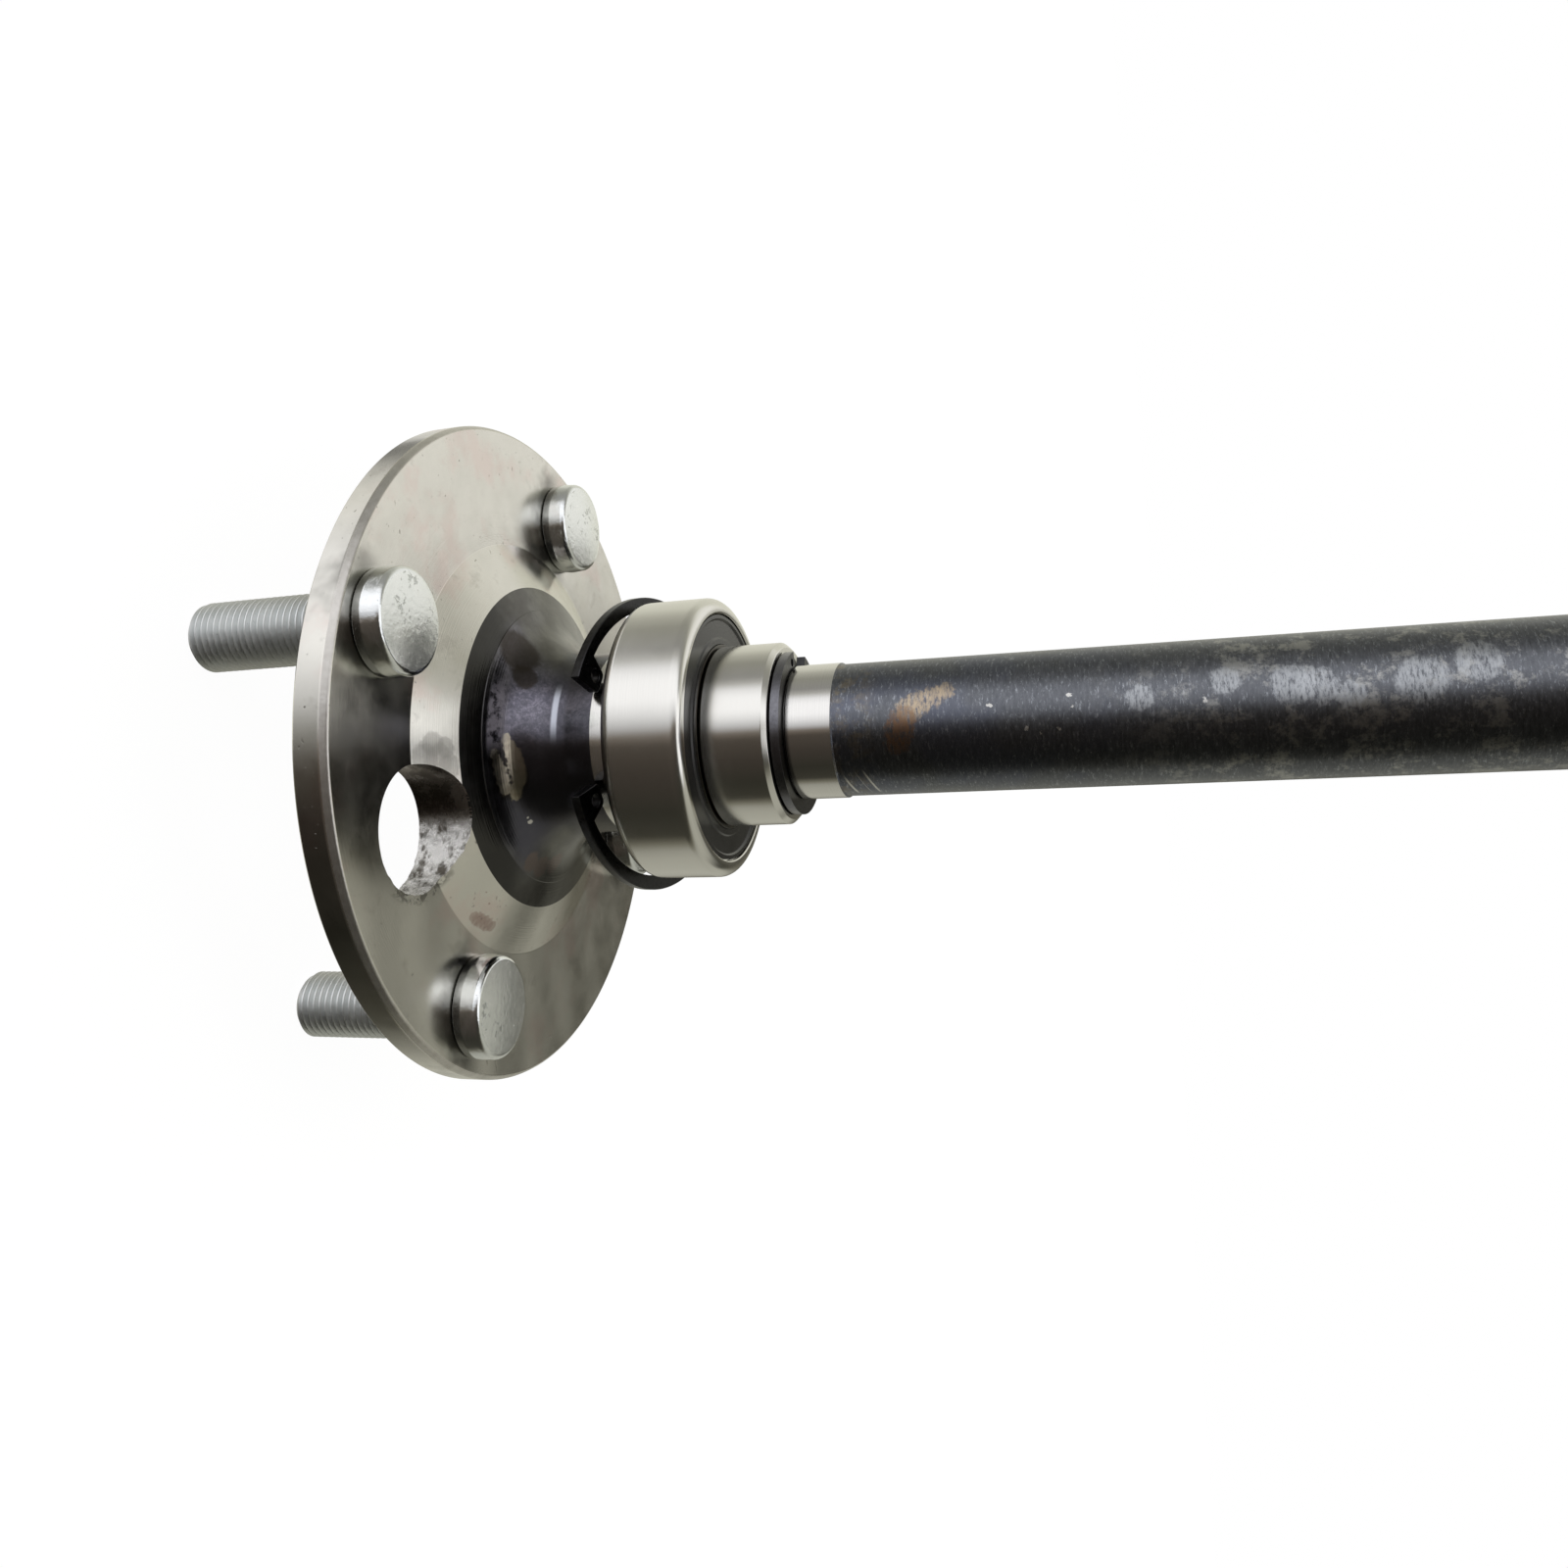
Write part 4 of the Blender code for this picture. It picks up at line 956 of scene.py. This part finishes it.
def build_outer_ring():
    low_seat = BEARING_FOOT_Z + SEAL_BACK + 0.3 * MM
    high_seat = BEARING_TOP_Z - SEAL_BACK - 0.3 * MM
    corners = [
        (OUTER_LAND_R, high_seat, 0), (SEAL_SEAT_R, high_seat, 0.1 * MM),
        (SEAL_SEAT_R, BEARING_TOP_Z, 0.25 * MM),
        (BEARING_R, BEARING_TOP_Z, BEARING_CORNER), (BEARING_R, BEARING_FOOT_Z, BEARING_CORNER),
        (SEAL_SEAT_R, BEARING_FOOT_Z, 0.25 * MM), (SEAL_SEAT_R, low_seat, 0.1 * MM),
        (OUTER_LAND_R, low_seat, 0)]
    ring = ring_piece("outer_ring", corners, "outer_race", "bearing_outer_ring",
                      polished, race_arc(OUTER_LAND_R, 0))
    # The corner towards the flange gets the painted shade
    ring.data.materials.append(painted_dark_corner())
    for face in ring.data.polygons:
        outside = face.center.xy.length > SEAL_SEAT_R
        if outside and face.center.z < BEARING_FOOT_Z + BEARING_CORNER * 0.8:
            face.material_index = 1


polished = bearing_steel()
build_outer_ring()

# The inner ring, the nine lapped balls and the moulded snap cage run behind the seals. The
# inner ring is pressed on the journal.


# Painted shade: the inner ring's end faces, dark for the gap between the seal's lip and collar
def shaded_ring_steel():
    material = finish("painted_shade_ring_face", (0.05, 0.045, 0.04), 0.3)
    point, height, radius = whereabouts(material)
    color = mix(grain(point, 2 * MM), (0.03, 0.027, 0.022, 1), (0.08, 0.072, 0.06, 1))
    return dress(material, color)


def build_inner_ring():
    corners = [
        (INNER_LAND_R, BEARING_FOOT_Z, 0.2 * MM), (BEARING_BORE_R, BEARING_FOOT_Z, 0.8 * MM),
        (BEARING_BORE_R, BEARING_TOP_Z, 0.8 * MM), (INNER_LAND_R, BEARING_TOP_Z, 0.2 * MM)]
    corners.insert(0, (INNER_LAND_R, BALL_Z - 3.5 * MM, 0))
    corners.append((INNER_LAND_R, BALL_Z + 3.5 * MM, 0))
    ring = ring_piece("inner_ring", corners, "shaft", "bearing_inner_ring",
                      polished, race_arc(INNER_LAND_R, pi))
    ring.data.materials.append(shaded_ring_steel())
    for face in ring.data.polygons:
        if abs(face.center.z - BALL_Z) > 7.0 * MM:
            face.material_index = 1


def give_finish(cad_node, material):
    """A new finish on a piece whose shape comes from the frame."""
    piece = bpy.data.objects[cad_node]
    for slot in piece.material_slots:
        slot.material = material


def lapped_steel():
    material = finish("lapped_ball_steel", (0.78, 0.78, 0.78), 0.08)
    point, height, radius = whereabouts(material)
    rough = math("MULTIPLY_ADD", grain(point, 2 * MM), 0.06, 0.04)
    return dress(material, rough=rough)


def cage_plastic():
    material = finish("moulded_cage", (0.28, 0.20, 0.11), 0.5, metallic=0.0)
    point, height, radius = whereabouts(material)
    color = mix(grain(point, 1.5 * MM), (0.24, 0.17, 0.09, 1), (0.33, 0.24, 0.13, 1))
    return dress(material, color, relief=grain(point, 0.4 * MM), depth=0.02 * MM)


build_inner_ring()
ball_finish = lapped_steel()
for number in range(1, 10):
    give_finish(f"bearing_ball_{number}", ball_finish)
give_finish("bearing_cage", cage_plastic())

# The two seals: nitrile rubber moulded over a steel disc. The outer bead snaps into the outer
# ring's step, and the inner lip runs on the inner ring.
SEAL_RECESS = 0.3 * MM
SEAL_THICK = 0.9 * MM
SEAL_OUTER_R = 22.8 * MM
SEAL_INNER_R = 17.3 * MM


def seal_rubber():
    material = finish("moulded_nitrile", (0.018, 0.018, 0.018), 0.2, metallic=0.0)
    point, height, radius = whereabouts(material)
    bloom = grain(point, 3 * MM)
    color = mix(bloom, (0.012, 0.012, 0.012, 1), (0.035, 0.035, 0.034, 1))
    rough = math("MULTIPLY_ADD", bloom, 0.16, 0.14)
    return dress(material, color, rough, grain(point, 0.25 * MM), 0.006 * MM)


def build_seal(name, face_z, facing, body, cad_node):
    face = [(SEAL_INNER_R, 0), (SEAL_INNER_R + 1.0 * MM, 0), (SEAL_INNER_R + 1.3 * MM, -0.3 * MM),
            (SEAL_OUTER_R - 1.0 * MM, -0.3 * MM), (SEAL_OUTER_R - 0.75 * MM, 0), (SEAL_OUTER_R, 0),
            (SEAL_OUTER_R, -SEAL_THICK), (SEAL_INNER_R, -SEAL_THICK)]
    corners = [(r, face_z + facing * down, 0.12 * MM) for r, down in face]
    ring_piece(name, corners, body, cad_node, rubber)


rubber = seal_rubber()
build_seal("seal_inboard", BEARING_TOP_Z - SEAL_RECESS, 1, "outer_race", "bearing_seal_inboard")
build_seal("seal_outboard", BEARING_FOOT_Z + SEAL_RECESS, -1, "outer_race", "bearing_seal_outboard")

# The collar: a hardened steel ring, shrunk on the journal against the inner ring, ground on the
# outside with its inboard edge broken.
COLLAR_FOOT_Z = FACE + 43.1 * MM
COLLAR_TOP_Z = FACE + 55.15 * MM
COLLAR_R = 16.7 * MM


def build_collar():
    corners = [
        (BEARING_BORE_R, COLLAR_TOP_Z, 0.3 * MM), (COLLAR_R - 0.9 * MM, COLLAR_TOP_Z, 0.25 * MM),
        (COLLAR_R, COLLAR_TOP_Z - 0.9 * MM, 0.3 * MM), (COLLAR_R, COLLAR_FOOT_Z, 0.35 * MM),
        (BEARING_BORE_R, COLLAR_FOOT_Z, 0.3 * MM)]
    start = (BEARING_BORE_R, (COLLAR_FOOT_Z + COLLAR_TOP_Z) / 2, 0)
    ring_piece("collar", [start] + corners, "shaft", "bearing_collar", polished)


build_collar()

# The shaft's snap ring: an external ring punched from spring steel and blackened, sprung into
# its groove right behind the collar. Its two plier holes point up.
SHAFT_RING_Z = FACE + 55.45 * MM
SHAFT_RING_THICK = 1.6 * MM
SHAFT_RING_OUTER_R = 15.0 * MM
SHAFT_RING_INNER_R = 11.55 * MM
SHAFT_RING_ANGLE = radians(84)
SHAFT_RING_GAP = radians(30)
PLIER_HOLE_R = 0.75 * MM


def arc(radius, start, end, steps):
    return [polar(radius, start + (end - start) * i / steps) for i in range(steps + 1)]


def hole(x, y, radius, steps=24):
    return [(x + radius * cos(2 * pi * i / steps), y + radius * sin(2 * pi * i / steps))
            for i in range(steps)]


def punched_plate(name, outlines, thick, edge):
    """A flat plate with softened edges, from its outline and the outlines of its holes."""
    curve = bpy.data.curves.new(name, "CURVE")
    curve.dimensions = "2D"
    curve.fill_mode = "BOTH"
    curve.extrude = thick / 2
    for outline in outlines:
        spline = curve.splines.new("POLY")
        spline.points.add(len(outline) - 1)
        for point, (x, y) in zip(spline.points, outline):
            point.co = (x, y, 0, 1)
        spline.use_cyclic_u = True
    flat = add_object(name, curve)
    bpy.context.view_layer.update()
    shapes = bpy.context.evaluated_depsgraph_get()
    mesh = bpy.data.meshes.new_from_object(flat.evaluated_get(shapes))
    bpy.data.objects.remove(flat)
    shape = bmesh.new()
    shape.from_mesh(mesh)
    bmesh.ops.remove_doubles(shape, verts=shape.verts, dist=0.001 * MM)
    bmesh.ops.recalc_face_normals(shape, faces=shape.faces)
    bmesh.ops.dissolve_limit(shape, angle_limit=radians(1), verts=shape.verts, edges=shape.edges)
    shape.to_mesh(mesh)
    shape.free()
    plate = add_object(name, mesh)
    bevel = plate.modifiers.new("edge", "BEVEL")
    bevel.width = edge
    bevel.segments = 3
    bevel.limit_method = "ANGLE"
    bevel.angle_limit = radians(50)
    freeze(plate)
    return plate


def black_spring_steel():
    material = finish("blackened_spring_steel", (0.05, 0.05, 0.052), 0.3)
    point, height, radius = whereabouts(material)
    fine = grain(point, 0.9 * MM, 5.0)
    color = mix(fine, (0.02, 0.02, 0.021, 1), (0.07, 0.07, 0.072, 1))
    rough = math("MULTIPLY_ADD", fine, 0.25, 0.18)
    return dress(material, color, rough, fine, 0.02 * MM)


def sheared_edge():
    material = finish("sheared_edge", (0.18, 0.18, 0.19), 0.25)
    point, height, radius = whereabouts(material)
    fine = grain(point, 0.6 * MM)
    color = mix(fine, (0.10, 0.10, 0.11, 1), (0.26, 0.26, 0.285, 1))
    return dress(material, color)


def build_shaft_ring():
    start = SHAFT_RING_ANGLE + SHAFT_RING_GAP / 2
    end = start + 2 * pi - SHAFT_RING_GAP
    outline = arc(SHAFT_RING_OUTER_R, start, end, 120) + arc(SHAFT_RING_INNER_R, end, start, 90)
    middle_r = (SHAFT_RING_OUTER_R + SHAFT_RING_INNER_R) / 2
    inset = 1.6 * MM / middle_r
    holes = [hole(*polar(middle_r, angle), PLIER_HOLE_R) for angle in (start + inset, end - inset)]
    ring = punched_plate("shaft_ring", [outline] + holes, SHAFT_RING_THICK, 0.18 * MM)
    ring.location.z = SHAFT_RING_Z + SHAFT_RING_THICK / 2
    ring.data.materials.append(spring_black)
    ring.data.materials.append(sheared_edge())
    for face in ring.data.polygons:
        if face.center.xy.length > SHAFT_RING_OUTER_R - 0.03 * MM:
            face.material_index = 1
    smooth(ring)
    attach(ring, "shaft")
    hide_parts("shaft_snap_ring")


spring_black = black_spring_steel()
build_shaft_ring()

# The housing snap ring: an internal ring, wide opposite its gap, with a lug and a plier hole at
# each end. It hangs loose behind the bearing until it is sprung into the axle tube.
TUBE_RING_R = 28.1 * MM
TUBE_RING_INNER_R = 25.35 * MM
TUBE_RING_THICK = 1.75 * MM
TUBE_RING_OFFSET = 0.45 * MM
TUBE_RING_HALF_GAP = radians(22)
TUBE_RING_ANGLE = radians(174.5)
LUG_TIP_R = 21.4 * MM
LUG_WIDE = radians(13)
LUG_HOLE_R = 1.25 * MM
TUBE_RING_PLACE = (3.7 * MM, -0.6 * MM, FACE + 26.24 * MM)
TUBE_RING_TILT = radians(10.1)


def build_tube_ring():
    def inner(angle):
        across = TUBE_RING_OFFSET * sin(angle)
        reach = TUBE_RING_OFFSET * cos(angle) + sqrt(TUBE_RING_INNER_R ** 2 - across ** 2)
        return polar(reach, angle)

    lug_root = TUBE_RING_HALF_GAP + LUG_WIDE
    far = 2 * pi - lug_root
    steps = 110
    outline = arc(TUBE_RING_R, TUBE_RING_HALF_GAP, 2 * pi - TUBE_RING_HALF_GAP, steps)
    tip = soft_lug()
    outline += [(x, -y) for x, y in reversed(tip)]
    outline += [inner(far + (lug_root - far) * i / steps) for i in range(steps + 1)]
    outline += tip
    hole_x, hole_y = polar(LUG_TIP_R + LUG_HOLE_R + 0.9 * MM, TUBE_RING_HALF_GAP + LUG_WIDE / 2)
    holes = [hole(hole_x, side * hole_y, LUG_HOLE_R) for side in (1, -1)]
    ring = punched_plate("housing_ring", [outline] + holes, TUBE_RING_THICK, 0.2 * MM)
    place = Matrix.Translation(TUBE_RING_PLACE) @ Matrix.Rotation(-TUBE_RING_TILT, 4, "Y")
    place = place @ Matrix.Rotation(TUBE_RING_ANGLE, 4, "Z")
    ring.data.transform(place)
    ring.data.materials.append(spring_black)
    smooth(ring)
    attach(ring, "outer_race")
    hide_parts("housing_snap_ring")


def soft_lug():
    """The lug beside the gap, from where it leaves the band to the gap's edge."""
    corner = 0.7 * MM
    turn = corner / LUG_TIP_R
    root = TUBE_RING_HALF_GAP + LUG_WIDE
    return [polar(LUG_TIP_R + corner, root - turn),
            polar(LUG_TIP_R + corner * 0.35, root - 1.4 * turn),
            polar(LUG_TIP_R, root - 2.2 * turn), polar(LUG_TIP_R, TUBE_RING_HALF_GAP + turn),
            polar(LUG_TIP_R + corner * 0.3, TUBE_RING_HALF_GAP + 0.3 * turn),
            polar(LUG_TIP_R + corner, TUBE_RING_HALF_GAP)]


build_tube_ring()
